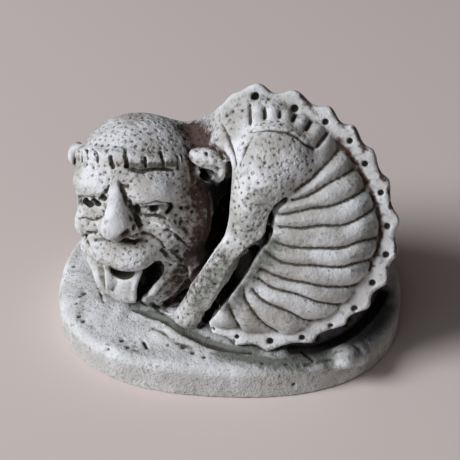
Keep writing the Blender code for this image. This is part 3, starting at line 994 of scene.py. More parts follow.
@dataclass(frozen=True)
class Crest:
    """The scalloped flange in the trunk's middle plane, with a drilled hole to each lobe."""

    thickness: float = 3.2
    radius: float = 34.6
    width: float = 9.0
    edge_round: float = 1.0
    rim: tuple[Turn, ...] = (
        (118.0, 33.0), (108.0, 35.2), (98.6, 36.7), (90.7, 34.2), (82.6, 35.7), (72.6, 33.5), (66.5, 34.9),
        (58.3, 33.1), (52.9, 34.5), (44.2, 33.2), (39.4, 34.2), (30.0, 33.1), (24.6, 34.3), (14.6, 33.4),
        (6.3, 35.1), (-0.8, 34.2), (-7.1, 35.6), (-14.4, 34.5), (-20.4, 35.7), (-28.8, 34.0), (-33.8, 35.3),
        (-43.8, 33.5), (-46.8, 34.4), (-59.8, 33.2), (-63.5, 34.7), (-75.0, 33.6), (-84.3, 34.8),
        (-92.0, 33.7),
        (-98.6, 34.6), (-105.0, 33.5), (-110.0, 33.9), (-118.0, 31.0),
    )  # angle in degrees and radius, lobe and hollow in turn
    bevel: float = 0.6  # how much deeper the front of each hollow is cut on the lobe's falling side
    holes: tuple[tuple[float, float, float], ...] = (
        (255.5, 96, 0.9), (294.5, 108.5, 0.95), (325.5, 122, 0.8), (350, 141, 0.75), (365, 164, 0.8),
        (381, 193, 0.8), (387, 226.5, 0.85), (386, 255, 0.85), (372.5, 283, 0.85), (377, 290.5, 0.45),
        (354.5, 309, 0.85), (356.5, 316.5, 0.4), (330.5, 326.5, 0.75), (330.5, 332, 0.65), (302, 338, 0.8),
        (270, 341.5, 0.9), (237, 337, 0.6), (233, 342.5, 0.7), (223, 340, 0.4), (213, 329.5, 0.6),
    )  # pixels across and down on the picture, and the share of the radius
    hole_radius: float = 1.2
    hole_depth: float = 1.8
    hole_lead: float = 1.5  # how far before the face a hole's cut starts
    hole_flare: float = 1.15  # the radius there, as a share of the hole's
    hole_taper: float = 0.8  # the radius at its end
    end_gap: float = 0.6  # from the end's middle to the floor, as a share of the hole's radius
    care: float = 0.92  # keeps the measure short of the true distance where the rim turns
    tips: tuple[Station, ...] = (
        (332, 136, 2.6, 0.4), (340, 144, 2.4, 0.6), (348, 153, 2.2, 0.65), (357, 164, 2.1, 0.7),
        (366, 180, 2.0, 0.75), (374, 198, 2.0, 0.8), (379, 214, 2.0, 0.8), (381, 228, 2.0, 0.8),
        (380, 240, 2.0, 0.7), (376, 253, 2.0, 0.5), (369, 270, 1.9, 0.35),
    )  # the line pressed along the tips of the ribs

    def box(self) -> tuple[np.ndarray, np.ndarray]:
        """Its lowest and highest corners."""
        reach = self.radius + 3
        return Ball(TRUNK, (0, 0, 0), (reach, reach, self.thickness)).box()

    def _falling(self, angle: np.ndarray) -> np.ndarray:
        """Finds the side of each lobe that falls clockwise to a hollow.

        Args:
            angle: the angles, in degrees.

        Returns:
            One in the middle of that side, down to nought at its ends and elsewhere.
        """
        low, high, share = between(self.rim, angle)
        return np.where(high > low, np.sin(np.pi * share), 0).astype(np.float32)

    def distance(self, cells: Window) -> np.ndarray:
        """Measures how far cells lie from the form.

        Args:
            cells: the cells.

        Returns:
            How far each lies outside its skin.
        """
        across, up, out = (cells.along(np.array(TRUNK.centre), axis) for axis in TRUNK.axes)
        angle = np.degrees(np.arctan2(up, across))
        radius = np.hypot(across, up)
        front = np.clip(0.5 + out / self.thickness, 0, 1)
        rim = around(self.rim, angle) - self.bevel * self._falling(angle) * front
        outer = (radius - rim) * self.care
        inner = (self.radius - self.width) - radius
        a = np.maximum(outer, inner) + self.edge_round
        b = np.abs(out) - self.thickness / 2 + self.edge_round
        outside = np.sqrt(np.maximum(a, 0) ** 2 + np.maximum(b, 0) ** 2)
        found = (outside + np.minimum(np.maximum(a, b), 0) - self.edge_round).astype(np.float32)
        gone = (angle > self.rim[0][0]) | (angle < self.rim[-1][0])
        found[gone] = FAR
        return found

    def sculpt(self, clay: Clay) -> None:
        """Lays the flange on, with a line pressed along the tips of the ribs."""
        clay.add(self, 0.8, Finish.CREST)
        clay.cut(clay.roll(TRUNK, self.tips), 0.5)

    def drill(self, clay: Clay) -> None:
        """Drills the holes, which taper and end blind.

        Args:
            clay: the block.
        """
        face = self.thickness / 2
        for u, v, share in self.holes:
            radius = share * self.hole_radius
            x, y, _ = clay.spot(TRUNK, (u, v), face)
            depth = self.hole_depth * share
            mouth = (x, y, face + self.hole_lead, radius * self.hole_flare)
            end = (x, y, face - depth + radius * self.end_gap, radius * self.hole_taper)
            clay.cut(Strand(TRUNK, (mouth, end), reach=2.0), 0.3)


@dataclass(frozen=True)
class Body:
    """The curled body: neck, nape, shoulder, the limb that comes down, and the far side."""

    crest: Crest = field(default_factory=Crest)
    pleats: tuple[tuple[Mark, ...], ...] = (
        ((257.5, 108, 0.9), (258, 117), (258, 127, 0.9)),
        ((272.5, 110.5, 0.9), (272.5, 118), (271.5, 127, 0.9)),
        ((288, 113.5, 0.9), (286.5, 120), (283.5, 128, 0.9)),
        ((303, 119, 0.9), (300, 125), (295, 132, 0.9)), ((319, 128, 0.9), (314, 134), (308, 141, 0.9)),
    )
    pleat_gaps: tuple[tuple[Mark, ...], ...] = (
        ((249.5, 104, 0.7), (250, 117), (251, 131, 0.7)), ((265, 108, 0.7), (265, 117), (264.5, 128, 0.7)),
        ((280.5, 111, 0.7), (279.5, 119), (278, 129, 0.7)),
        ((295.5, 114.5, 0.9), (292.5, 121, 1.2), (289, 130)), ((311, 121.5), (307, 128, 1.4), (301, 136)),
        ((327.5, 133), (321.5, 141, 1.6), (314, 149)),
    )
    limb: tuple[Station, ...] = (
        (266, 180, 6.4, 8.4), (256, 203, 7.0, 6.5), (252, 220, 7.4, 5.3), (245, 236, 7.0, 4.6),
        (236, 250, 6.6, 4.5), (224, 265, 5.2, 4.3), (213, 280, 3.6, 4.1), (203, 295, 1.6, 3.9),
        (193, 309, -0.4, 3.7), (187, 317, -1.9, 3.6),
    )
    limb_gap: tuple[Mark, ...] = (
        (286, 200, 0.5), (276.5, 209, 0.7), (272, 218.5, 0.7), (269.5, 231.5, 0.75), (265, 241.5, 0.95),
        (255.5, 249.5, 1.4), (246.5, 259, 1.8), (239.5, 269, 2.0), (233, 279, 1.9), (226, 289, 1.7),
        (219, 299, 1.5), (212.5, 309, 1.3), (205.5, 319, 1.1), (200, 325.5, 0.8),
    )
    throat: tuple[Mark, ...] = (
        (231, 165, 0.3), (228, 176, 0.5), (222, 190, 1.1), (219.5, 205, 1.2), (219.5, 218, 1.15),
        (218, 231), (215, 243, 0.8), (210, 255, 0.6), (203.5, 265, 0.4), (197, 274, 0.3),
    )

    def sculpt(self, clay: Clay) -> None:
        """Lays the body on and draws its folds.

        Args:
            clay: the block.
        """
        clay.add(Flank(clay.view), 0.6, Finish.RIBBED)
        clay.cut(Ball(TRUNK, (-20, 0, 5.5), (12, 21, 12.5), -14), 1.5)
        back = ((-22, 7, 33, 12.5), (-7, 8, 34, 10.5), (4, 2, 42, 11), (13, -5, 46.5, 11))
        nape = ((-19, 18, -8, 3.2), (-13, 25.8, -4, 4.4), (-7, 30.2, -1, 4.2), (0, 29.8, 0, 3.0))
        shoulder = ((-9, 21, -1, 7.0), (3, 23, -1.5, 5.0), (13, 20, -2.5, 4.5))
        neck = ((178, 150, -8, 7), (198, 147, -9, 7.5), (222, 140, -9, 8))
        clay.lay((
            (Strand(BEAST, back), 4.0, Finish.STIPPLED),
            (Strand(TRUNK, nape), 3.0, Finish.STIPPLED),
            (Strand(TRUNK, shoulder), 3.0, Finish.STIPPLED),
            (clay.roll(HEAD, neck), 3.0, Finish.STIPPLED),
        ))
        self._far_side(clay)
        self.crest.sculpt(clay)
        self._pleats(clay)
        self._limb(clay)
        self._folds(clay)

    def _pleats(self, clay: Clay) -> None:
        """Lays on the short pleats over the shoulder and cuts them apart.

        Args:
            clay: the block.
        """
        for marks in self.pleats:
            clay.raise_line(marks, 1.9, 0.75, 0.4)
        for marks in self.pleat_gaps:
            clay.incise(marks, 0.5, 0.7)

    def _far_side(self, clay: Clay) -> None:
        """Lays on what the photograph doesn't show: the far limb, the thigh with its foot, and the tail.

        Args:
            clay: the block.
        """
        limb = ((12, 2, 38, 9.5), (6, 12, 27, 7.6), (-2, 18.5, 14, 5.6), (-7.5, 21.5, 4, 4.6))
        foot = ((26, 11, 7, 5.6), (23, 19, 2.6, 4.4), (17, 24, 1.6, 3.8))
        tail = (
            (35, -8, 3, 4.2), (38.5, 4, 1.6, 3.8), (36, 15, 1.2, 3.2), (30, 23, 1, 2.6),
            (24, 28.5, 0.6, 1.8),
        )
        clay.lay((
            (Ball(BEAST, (7, -5, 9), (21, 17, 14)), 4.0, Finish.SPARSE),
            (Ball(BEAST, (-15, 5, 13), (14, 13, 18)), 4.0, Finish.SPARSE),
            (Strand(BEAST, limb), 2.0, Finish.STIPPLED),
            (Ball(BEAST, (-8.5, 23, 2), (5.2, 5.6, 4.2)), 1.5, Finish.STIPPLED),
            (Ball(BEAST, (22, 3, 13), (13.5, 13, 15), -18), 2.0, Finish.STIPPLED),
            (Strand(BEAST, foot), 1.5, Finish.STIPPLED),
            (Strand(BEAST, tail), 1.0, Finish.SPARSE),
        ))

    def _limb(self, clay: Clay) -> None:
        """Lays on the shoulder and the limb, with the deep gaps on both sides of the limb.

        Args:
            clay: the block.
        """
        dome = clay.spot(TRUNK, (275.5, 158.5), 5.0)
        clay.add(Ball(TRUNK, dome, (10.6, 9.8, 8.2)), 1.4, Finish.STIPPLED)
        trench = ((236, 249, 13.4, 3.2), (224, 263, 12.0, 3.4), (213, 278, 10.8, 3.6), (203, 294, 8.6, 3.6))
        clay.cut(clay.roll(TRUNK, trench), 1.0)
        clay.add(clay.roll(TRUNK, self.limb), 1.6, Finish.STIPPLED)
        clay.slot(self.limb_gap, 1.0, 9.0, 0.7, Finish.STIPPLED)
        clay.bore(self.limb_gap[5:-1], 0.95, 8.0, 0.6)
        root = ((262, 262, 8.0, 3.2), (255, 274, 7.0, 3.2), (247, 286, 5.0, 2.8), (239, 297, 3.0, 2.2))
        clay.paint(clay.roll(TRUNK, root), Finish.STIPPLED)

    def _folds(self, clay: Clay) -> None:
        """Draws the fold at the neck and the edge of the shoulder.

        Args:
            clay: the block.
        """
        clay.carve((
            (((222, 125, 0.8), (226.5, 134), (231, 146), (234, 156), (235.5, 166)), 0.45, 0.6),
            (((239, 168, 0.6), (242, 156), (248, 143), (254, 136, 0.6)), 0.7, 0.6),
            (((250, 132, 0.6), (262, 130), (276, 130), (288, 132), (299, 138), (307, 145),
              (314, 148)), 0.55, 0.9),
        ))

    def hollow_out(self, clay: Clay) -> None:
        """Cuts the deep throat between the head and the limb, down to the slab.

        Args:
            clay: the block.
        """
        inner = ((220, 208, 0.8), (219.5, 220), (217, 234, 0.8), (212, 247, 0.6))
        outer = (
            (231.5, 180, 0.5), (230.5, 192, 0.9), (229.5, 205), (227, 220), (223, 234, 0.9),
            (217, 246, 0.7),
        )
        clay.slot(self.throat, 2.9, 14.0, 1.0)
        clay.bore(inner, 2.8, 3.5, 0.8)
        clay.bore(outer, 1.4, 5.0, 0.8)
        clay.incise(((201, 269, 0.7), (195, 276), (187, 285), (177, 295), (167, 303, 0.7)), 1.5, 1.3, 0.8)


@dataclass(frozen=True)
class Head:
    """The grotesque head: skull, fringe, brows, nose, moustache-like muzzle, open mouth and tongue."""

    fringe_cuts: tuple[Stroke, ...] = (
        (((78.5, 150), (78.8, 161)), 0.3, 0.7), (((81.5, 150), (81.8, 161)), 0.3, 0.7),
        (((86.5, 148), (87.5, 160)), 0.35, 0.8), (((95, 150, 0.6), (96.5, 155), (97.5, 162)), 0.5, 1.0),
        (((106.5, 149), (107, 153)), 0.4, 0.4), (((110, 157), (111, 162), (112.5, 167)), 0.6, 1.1),
        (((125.5, 150, 0.5), (125.5, 157), (127, 167)), 0.6, 1.1), (((142.5, 162), (143.5, 162)), 0.5, 0.9),
        (((145, 158), (146, 167)), 0.5, 1.1),
        (((161, 152), (162.5, 157), (164, 162), (163.5, 167)), 0.5, 0.9),
        (((177.5, 155), (179, 160), (178.5, 169)), 0.5, 0.9), (((182, 155), (183, 160)), 0.4, 0.7),
    )
    lines: tuple[Stroke, ...] = (
        (((108.3, 185.5, 0.5), (106.5, 190.5), (103, 196), (101, 199.5)), 0.5, 0.9),
        (((119, 181, 0.5), (121.5, 187), (124, 194), (126, 200), (127.5, 206, 0.6)), 0.7, 1.0),
        (((128.5, 199, 0.5), (131, 207), (134, 213), (137.5, 219, 1.2), (139.5, 224, 1.3),
          (140.5, 231, 0.8)), 0.7, 1.2),
        (((124, 186), (127, 188.5), (127.5, 185)), 0.45, 0.5),
        (((100.5, 264, 0.6), (101.5, 272), (102.5, 281), (104.5, 289, 0.4)), 1.4, 0.9),
        (((81, 226, 0.6), (83, 234), (87.5, 243), (92, 252), (95, 258)), 0.6, 0.5),
        (((145, 222), (158, 227), (168, 234)), 0.45, 0.4),
        (((150, 219), (162, 222), (172, 226)), 0.45, 0.4),
        (((77, 219.5, 0.6), (83, 217.3), (91.5, 220), (96, 219.5), (100.5, 217)), 0.45, 0.55),
        (((83.5, 240), (86, 236), (90, 233.5), (96, 233)), 0.45, 0.65),
        (((110, 241, 0.5), (118, 240.5), (124, 238.5), (131, 237), (137, 235), (143, 233, 0.5)), 0.45, 0.9),
        (((143, 233), (150, 235.3), (157, 239.5), (162, 244.5), (164.5, 249)), 0.45, 0.6),
        (((162, 250, 0.6), (167, 254), (172, 257.5), (177, 261, 0.5)), 0.8, 1.4),
        (((132, 237), (138, 235)), 0.6, 0.9), (((141, 225, 0.8), (147, 225.5, 0.8)), 0.45, 0.5),
        (((168, 231, 0.6), (176, 236), (182, 242.5), (188.5, 248, 0.7)), 0.55, 0.9),
    )
    folds: tuple[Stroke, ...] = (
        (((152, 223, 0.6), (161, 226), (170, 229.5), (180, 234.5), (187, 240.5), (191, 246, 0.7)), 1.2, 1.0),
    )
    curl_lumps: tuple[tuple[Mark, float], ...] = (
        ((197, 152), 1.4), ((203, 151), 1.3), ((210, 152), 1.5), ((217, 155), 1.4), ((222, 161), 1.4),
        ((225, 169), 1.3), ((222, 176), 1.1), ((204, 160), 1.3), ((212, 161), 1.2),
    )  # place and radius
    lip_ridges: tuple[Stroke, ...] = (
        (((107.8, 266), (107, 278), (107.8, 292)), 0.7, 0.5),
        (((140, 272), (137, 279), (134.5, 288), (134, 299)), 0.7, 0.6),
        (((177, 262, 0.6), (172, 271), (163, 282), (154, 290), (145, 298)), 1.1, 0.8),
    )
    lids: tuple[Stroke, ...] = (
        (((172, 204.5), (169.5, 209), (166.5, 212.5)), 0.5, 0.8),
        (((141, 205), (150, 204), (156, 202.2), (163, 203), (171, 204.5)), 0.5, 1.0),
        (((142, 214), (147, 215.5), (154, 215.5), (161, 216), (166, 218)), 0.5, 0.7),
        (((75, 197), (88, 197.8), (101, 199)), 0.5, 0.8), (((170.5, 190), (172.5, 200)), 0.5, 0.4),
        (((174, 206, 0.8), (180, 207), (189, 208.5, 0.8)), 0.45, 0.5),
    )
    holes: tuple[Stroke, ...] = (
        (((137, 207), (138, 211, 0.9)), 0.85, 1.0), (((153.4, 207.8), (155.2, 208.2, 0.9)), 1.1, 0.5),
        (((171.3, 206), (169.3, 209.5), (166.8, 212.8, 0.8)), 0.5, 0.8),
        (((86.3, 200.6), (89, 203.2), (91.5, 204.8, 0.8)), 0.85, 2.4),
        (((94.3, 201.2), (97, 203), (99.3, 204.2, 0.8)), 0.75, 2.2),
        (((103.2, 199), (105.3, 198)), 0.6, 1.0), (((93.5, 197.6),), 0.4, 0.5),
        (((129, 229, 0.45), (127.5, 233, 0.9), (124, 236, 0.9), (119, 238.3, 0.4)), 1.05, 2.6),
        (((134.4, 225.5), (133.6, 229)), 0.5, 1.0), (((181, 208),), 0.4, 0.4), (((192, 211.5),), 0.4, 0.4),
    )  # of the eyes and the nose
    dimples: tuple[tuple[Mark, Point, float], ...] = (
        ((79.8, 201), (1.4, 0.9, 1.3), 1.2), ((98, 231), (0.7, 0.6, 0.6), 0.5),
        ((90, 232), (0.8, 0.6, 0.6), 0.5), ((168, 230), (0.8, 0.8, 0.8), 0.7),
        ((176, 222), (0.8, 0.6, 0.6), 0.5), ((181, 222), (0.7, 0.6, 0.6), 0.5),
        ((171, 236), (0.8, 0.9, 0.8), 0.7),
    )  # place, radii and depth

    def sculpt(self, clay: Clay) -> None:
        """Lays the head on from its big forms to its creases.

        Args:
            clay: the block.
        """
        self._skull(clay)
        self._fringe(clay)
        self._ears(clay)
        self._face(clay)
        self._mouth(clay)
        self._creases(clay)

    def _skull(self, clay: Clay) -> None:
        """Lays on the skull and the jaw.

        Args:
            clay: the block.
        """
        jaw = (
            (190, 212, 1.0, 7.0), (188, 238, 0.5, 6.6), (182, 258, 0.0, 6.2), (173, 273, 0.0, 5.4),
            (163, 286, 1.0, 4.6), (155, 294, 1.5, 3.8),
        )
        clay.add(clay.roll(HEAD, jaw), 3.0, Finish.STIPPLED)
        for centre, radii, finish in (
            ((0.8, 4, -1), (18.3, 17.2, 18), Finish.STIPPLED),
            ((0.6, -6, 0.5), (16.8, 14, 14.5), Finish.STIPPLED),
            ((3.6, -6, -4.5), (18.8, 17.5, 13.5), Finish.STIPPLED),
            ((2, -16.4, 1), (14.2, 12.4, 11.5), Finish.STIPPLED),
            ((2, -24.4, 4), (9.5, 6, 7.2), Finish.SMOOTH),
        ):
            clay.add(Ball(HEAD, centre, radii), 3.0, finish)

    def _fringe(self, clay: Clay) -> None:
        """Lays the cropped fringe round the brow, with a shaded underside and the cuts between its blocks.

        Args:
            clay: the block.
        """
        band = (
            (80, 153), (86, 153.5), (97, 154.5), (112, 156), (127, 158), (144, 160), (161, 161), (176, 161),
            (183, 161, 0.7),
        )
        clay.raise_line(band, 2.1, 1.3, 0.9)
        underside = (
            (126, 167, 0.5), (132, 169.5), (140, 171.5), (150, 170), (163, 169.5), (173, 170.5, 0.6),
        )
        clay.incise(underside, 0.6, 0.9)
        clay.carve(self.fringe_cuts)

    def _ears(self, clay: Clay) -> None:
        """Lays on the ears: the near one a thick lumpy curl round a hollow, the far one only its edge.

        Args:
            clay: the block.
        """
        curl = (
            (196, 155.5, 5.0, 2.0), (204, 157.5, 5.4, 2.7), (212, 159, 5.4, 2.8), (219, 163.5, 5.0, 2.5),
            (221.5, 171, 4.6, 2.0), (218.5, 177, 4.4, 1.6), (213, 180, 4.4, 1.2),
        )
        lobe = clay.spot(HEAD, (210, 168), 2.2)
        clay.add(Ball(HEAD, lobe, (4.6, 4.2, 2.2), -20), 1.0, Finish.SPARSE)
        clay.add(clay.roll(HEAD, curl), 0.6, Finish.STIPPLED)
        for mark, radius in self.curl_lumps:
            clay.lump(mark, (radius, radius, radius), 0.4, 0, 0.5)
        clay.bore(((201, 168, 0.6), (205, 170), (209.5, 172), (211.5, 176, 0.8)), 1.15, 2.6)
        clay.bore(((202, 172), (205, 176), (208.5, 178.5, 0.8)), 1.0, 4.5, 0.5)
        clay.dent((216, 170), (1.3, 1.8, 1.4), 0.8, 20)
        clay.incise(((220, 153), (223.5, 159)), 0.5, 0.7)
        clay.bore(((196.5, 150.5),), 0.5, 0.9)
        clay.bore(((206.5, 153.5),), 0.45, 0.6)
        far_ear = ((84, 148, 0.5, 1.2), (77, 148.5, 0.2, 1.3), (73, 152, -0.5, 1.2), (72, 158, -1.0, 1.0))
        clay.add(clay.roll(HEAD, far_ear), 0.8, Finish.SMOOTH)
        back = clay.spot(HEAD, (77, 154), -2.5)
        clay.add(Ball(HEAD, back, (2.2, 3.6, 2.8)), 1.0, Finish.SMOOTH)
        clay.incise(((75, 158), (75.5, 166)), 0.9, 2.0)

    def _face(self, clay: Clay) -> None:
        """Lays on the brows, the cheeks, the nose and the muzzle.

        Args:
            clay: the block.
        """
        for side in (-1, 1):
            brow = Ball(HEAD, (0.6 + 8.0 * side, 4.2, 11.9), (6.2, 4.4, 4.2), 4 * side)
            cheek = Ball(HEAD, (1.4 + 9.0 * side, -7.4, 10.8), (6.0, 5.0, 3.8), -14 * side)
            wing = Ball(HEAD, (1.1 + 4.0 * side, -6.4, 15.0), (2.2, 2.6, 2.8))
            clay.add(brow, 2.0, Finish.SPARSE)
            clay.add(cheek, 3.0, Finish.STIPPLED)
            clay.add(wing, 1.0, Finish.SMOOTH)
        bridge = Strand(HEAD, ((0.3, 7.5, 14.6, 1.9), (0.7, 1.5, 16.4, 2.4), (1.1, -4.6, 17.6, 3.6)))
        clay.add(bridge, 1.0, Finish.SMOOTH)
        clay.add(Ball(HEAD, (1.2, -5.6, 18.2), (4.4, 3.5, 3.9)), 1.0, Finish.SMOOTH)
        muzzle = (
            (90, 246, 9.2, 2.6), (100, 248.5, 11.6, 3.5), (113, 253, 13.8, 3.9), (126, 256.5, 14.6, 4.0),
            (138, 256, 14.2, 3.9), (150, 250.5, 12.8, 3.2), (161, 254, 11.0, 1.8), (174, 260.5, 8.8, 1.0),
        )
        clay.add(clay.roll(HEAD, muzzle), 1.0, Finish.STIPPLED)

    def _mouth(self, clay: Clay) -> None:
        """Opens the mouth round the tongue, and lays on the ridges of tongue and lips.

        Args:
            clay: the block.
        """
        clay.add(Ball(HEAD, (1.0, -22.4, 7.0), (9.0, 8.0, 5.4)), 1.5, Finish.SMOOTH)
        corner = ((92.5, 252, 7.5, 1.6), (95.5, 264, 7.5, 1.5), (99.5, 278, 7.5, 1.4), (105, 291, 7.5, 1.3))
        clay.add(clay.roll(HEAD, corner), 1.2, Finish.SMOOTH)
        clay.lump((122, 299), (5.4, 3.0, 3.0), 0.6, 0, 1.5)
        right = (
            (155.5, 268, 0.88), (152, 272), (150, 277, 0.98), (147.5, 282, 0.93), (145, 286, 0.86),
            (142.5, 291, 0.65), (139.8, 296, 0.4), (138, 301, 0.2),
        )
        clay.bore(right, 2.7, 10.0, 0.5)
        left = ((111, 268, 0.5), (116, 271.5, 0.8), (123, 274), (129, 274.5, 0.8), (133, 273, 0.4))
        clay.bore(left, 1.3, 2.4, 0.6)
        clay.incise(((115, 277), (114, 284), (112, 290, 0.6)), 1.5, 0.7)
        for stroke in self.lip_ridges:
            clay.raise_line(*stroke, 0.6)

    def _eyes(self, clay: Clay) -> None:
        """Lays on the near eye in its socket, draws the lids and bores the holes of eyes and nose.

        Args:
            clay: the block.
        """
        clay.lump((149, 192), (5.8, 3.3, 3.0), 1.6, 0, 1.4)
        clay.dent((154, 210), (5.8, 2.0, 2.6), 1.7, 0, 0.5)
        clay.lump((155, 210), (4.4, 2.0, 1.9), 1.3, 0, 0.4)
        clay.carve(self.lids)
        for stroke in self.holes:
            clay.bore(*stroke)

    def _creases(self, clay: Clay) -> None:
        """Draws the eyes, the lines of the face and its folds, at the photograph's places.

        Args:
            clay: the block.
        """
        self._eyes(clay)
        for stroke in self.folds:
            clay.raise_line(*stroke)
        clay.carve(self.lines)
        for mark, radii, depth in self.dimples:
            clay.dent(mark, radii, depth, 0, 0.3)


@dataclass(frozen=True)
class StoneFinish:
    """Weathered cast stone: a pale, dry, porous skin with old wash and dirt in every hollow, and painted
    shade in the hollows and deep gaps.
    """

    high: str = "#DDDEDC"
    body: str = "#AFACA4"
    # olive-grey for specks, pit rims and the wash in soft creases; in the creases it is partly painted shade
    wash: str = "#7C786B"
    # dark wash in the fine creases, partly painted shade there
    recess: str = "#443E32"
    # painted shade: near-black, for the deep gaps and the painted shadow strokes
    painted_shade: str = "#120D08"
    # brown stains, and painted shade in the same brown on shaded sides and in creases
    stain: str = "#3A1D0B"
    # green film, and painted shade in the same green-grey under overhangs and in hollows
    moss: str = "#5E6156"
    side: str = "#A9A69D"
    roughness: float = 0.93
    grain: float = 0.5 * MM
    pore: float = 1.4 * MM
    cloud: float = 9.0 * MM
    streak: float = 2.2 * MM
    squeeze: float = 0.12  # a streak's height is drawn out by the inverse of this
    pit_pitch: float = 1.9 * MM
    grit_pitch: float = 1.0 * MM
    specular: float = 0.25
    grain_relief: float = 0.4 * MM
    pit_relief: float = -0.34 * MM
    grit_relief: float = -0.22 * MM
    bump: float = 0.8
    # dirt, blot and bloom carry painted shade as well as dirt, stains and moss
    shares: tuple[tuple[str, str, float, str, float, float], ...] = (
        ("dirt_and_shade", "pore", 0.5, "recess", 0.42, 1.0), ("tone", "cloud", 1.0, "", 0.4, 0.64),
        ("speck", "pore", 1.0, "", 0.56, 0.74), ("run", "streak", 1.0, "side", 1.1, 1.75),
        ("blot_and_shade", "pore", 1.6, "stain", 0.95, 1.6), ("bloom_and_shade", "pore", 0.7, "moss", 0.5, 1.0),
    )  # name, noise and its weight, the mask it is added to, and the sums that give none and all
    # the hollow and depth coats are painted shade
    coats: tuple[tuple[str, float, str], ...] = (
        ("crown", 0.8, high), ("pale", 0.4, high), ("run", 0.5, side), ("speck", 0.38, wash),
        ("grit edge", 0.7, wash), ("pit edge", 0.8, wash), ("pit", 0.95, wash), ("wash", 0.75, wash),
        ("bloom_and_shade", 0.9, moss), ("dirt_and_shade", 0.88, recess), ("blot_and_shade", 0.92, stain), ("hollow", 1.0, painted_shade),
        ("depth", 1.0, painted_shade),
    )  # where each lies, how strongly, and its colour, from the first coat to the last

    def _dimples(self, tree: Tree, place: Socket, pitch: float, mask: str) -> tuple[Socket, Socket]:
        """Scatters shallow dimples where a mask lies.

        Args:
            tree: the material's nodes.
            place: the coordinates.
            pitch: how far apart they lie.
            mask: the attribute that says where.

        Returns:
            How deep each spot lies in a dimple, and how near it lies to the dimple's edge.
        """
        feeds = {"Vector": place, "Scale": 1 / (1.6 * pitch), "Detail": 3.0}
        waver = add_node(tree, "ShaderNodeTexNoise", feeds)
        feeds = {0: waver.outputs["Color"], 1: (0.9 * pitch,) * 3, 2: place}
        shifted = add_node(tree, "ShaderNodeVectorMath", feeds, operation="MULTIPLY_ADD")
        feeds = {"Vector": shifted.outputs[0], "Scale": 1 / pitch, "Randomness": 0.9}
        away = add_node(tree, "ShaderNodeTexVoronoi", feeds).outputs["Distance"]
        feeds = {"Value": away, "From Min": 0.1, "From Max": 0.4, "To Min": 1.0, "To Max": 0.0}
        round_off = add_node(tree, "ShaderNodeMapRange", feeds, interpolation_type="SMOOTHSTEP").outputs[0]
        where = add_node(tree, "ShaderNodeAttribute", attribute_name=mask).outputs["Fac"]
        deep = add_node(tree, "ShaderNodeMath", {0: round_off, 1: where}, operation="MULTIPLY").outputs[0]
        shore = add_node(tree, "ShaderNodeMath", {0: 1.0, 1: round_off}, operation="SUBTRACT")
        edge = add_node(tree, "ShaderNodeMath", {0: shore.outputs[0], 1: deep}, operation="MULTIPLY")
        return deep, edge.outputs[0]

    def _noises(self, tree: Tree, place: Socket) -> dict[str, Socket]:
        """Adds the noises of the stone, from its grain to its clouds.

        Args:
            tree: the material's nodes.
            place: the coordinates.

        Returns:
            Each noise by its name.
        """
        feeds = {"Vector": place, "Scale": (1.0, 1.0, self.squeeze)}
        drawn = add_node(tree, "ShaderNodeMapping", feeds).outputs[0]
        noise = {}
        for name, at, size, detail in (
            ("pore", place, self.pore, 4.0), ("grain", place, self.grain, 3.0),
            ("cloud", place, self.cloud, 3.0), ("streak", drawn, self.streak, 2.0),
        ):
            feeds = {"Vector": at, "Scale": 1 / size, "Detail": detail}
            noise[name] = add_node(tree, "ShaderNodeTexNoise", feeds).outputs["Fac"]
        return noise

    def _colour(self, tree: Tree, noise: dict[str, Socket], masks: dict[str, Socket]) -> Socket:
        """Lays the coats of wash, dirt, moss, stain and painted shade over the stone's own tone.

        Args:
            tree: the material's nodes.
            noise: the noises by name.
            masks: the masks by name, to which the shares are added.

        Returns:
            The colour.
        """
        for name, source, weight, base, low, high in self.shares:
            feeds = {0: noise[source], 1: weight, 2: masks.get(base, 0.0)}
            total = add_node(tree, "ShaderNodeMath", feeds, operation="MULTIPLY_ADD").outputs[0]
            span = {"Value": total, "From Min": low, "From Max": high}
            masks[name] = add_node(tree, "ShaderNodeMapRange", span, clamp=True).outputs[0]
        feeds = {0: masks["tone"], 6: linear(self.body), 7: linear(self.high)}
        colour = add_node(tree, "ShaderNodeMix", feeds, data_type="RGBA").outputs[2]
        for mask, strength, tint in self.coats:
            feeds = {0: masks[mask], 1: strength}
            amount = add_node(tree, "ShaderNodeMath", feeds, operation="MULTIPLY", use_clamp=True)
            feeds = {0: amount.outputs[0], 6: colour, 7: linear(tint)}
            colour = add_node(tree, "ShaderNodeMix", feeds, data_type="RGBA").outputs[2]
        return colour

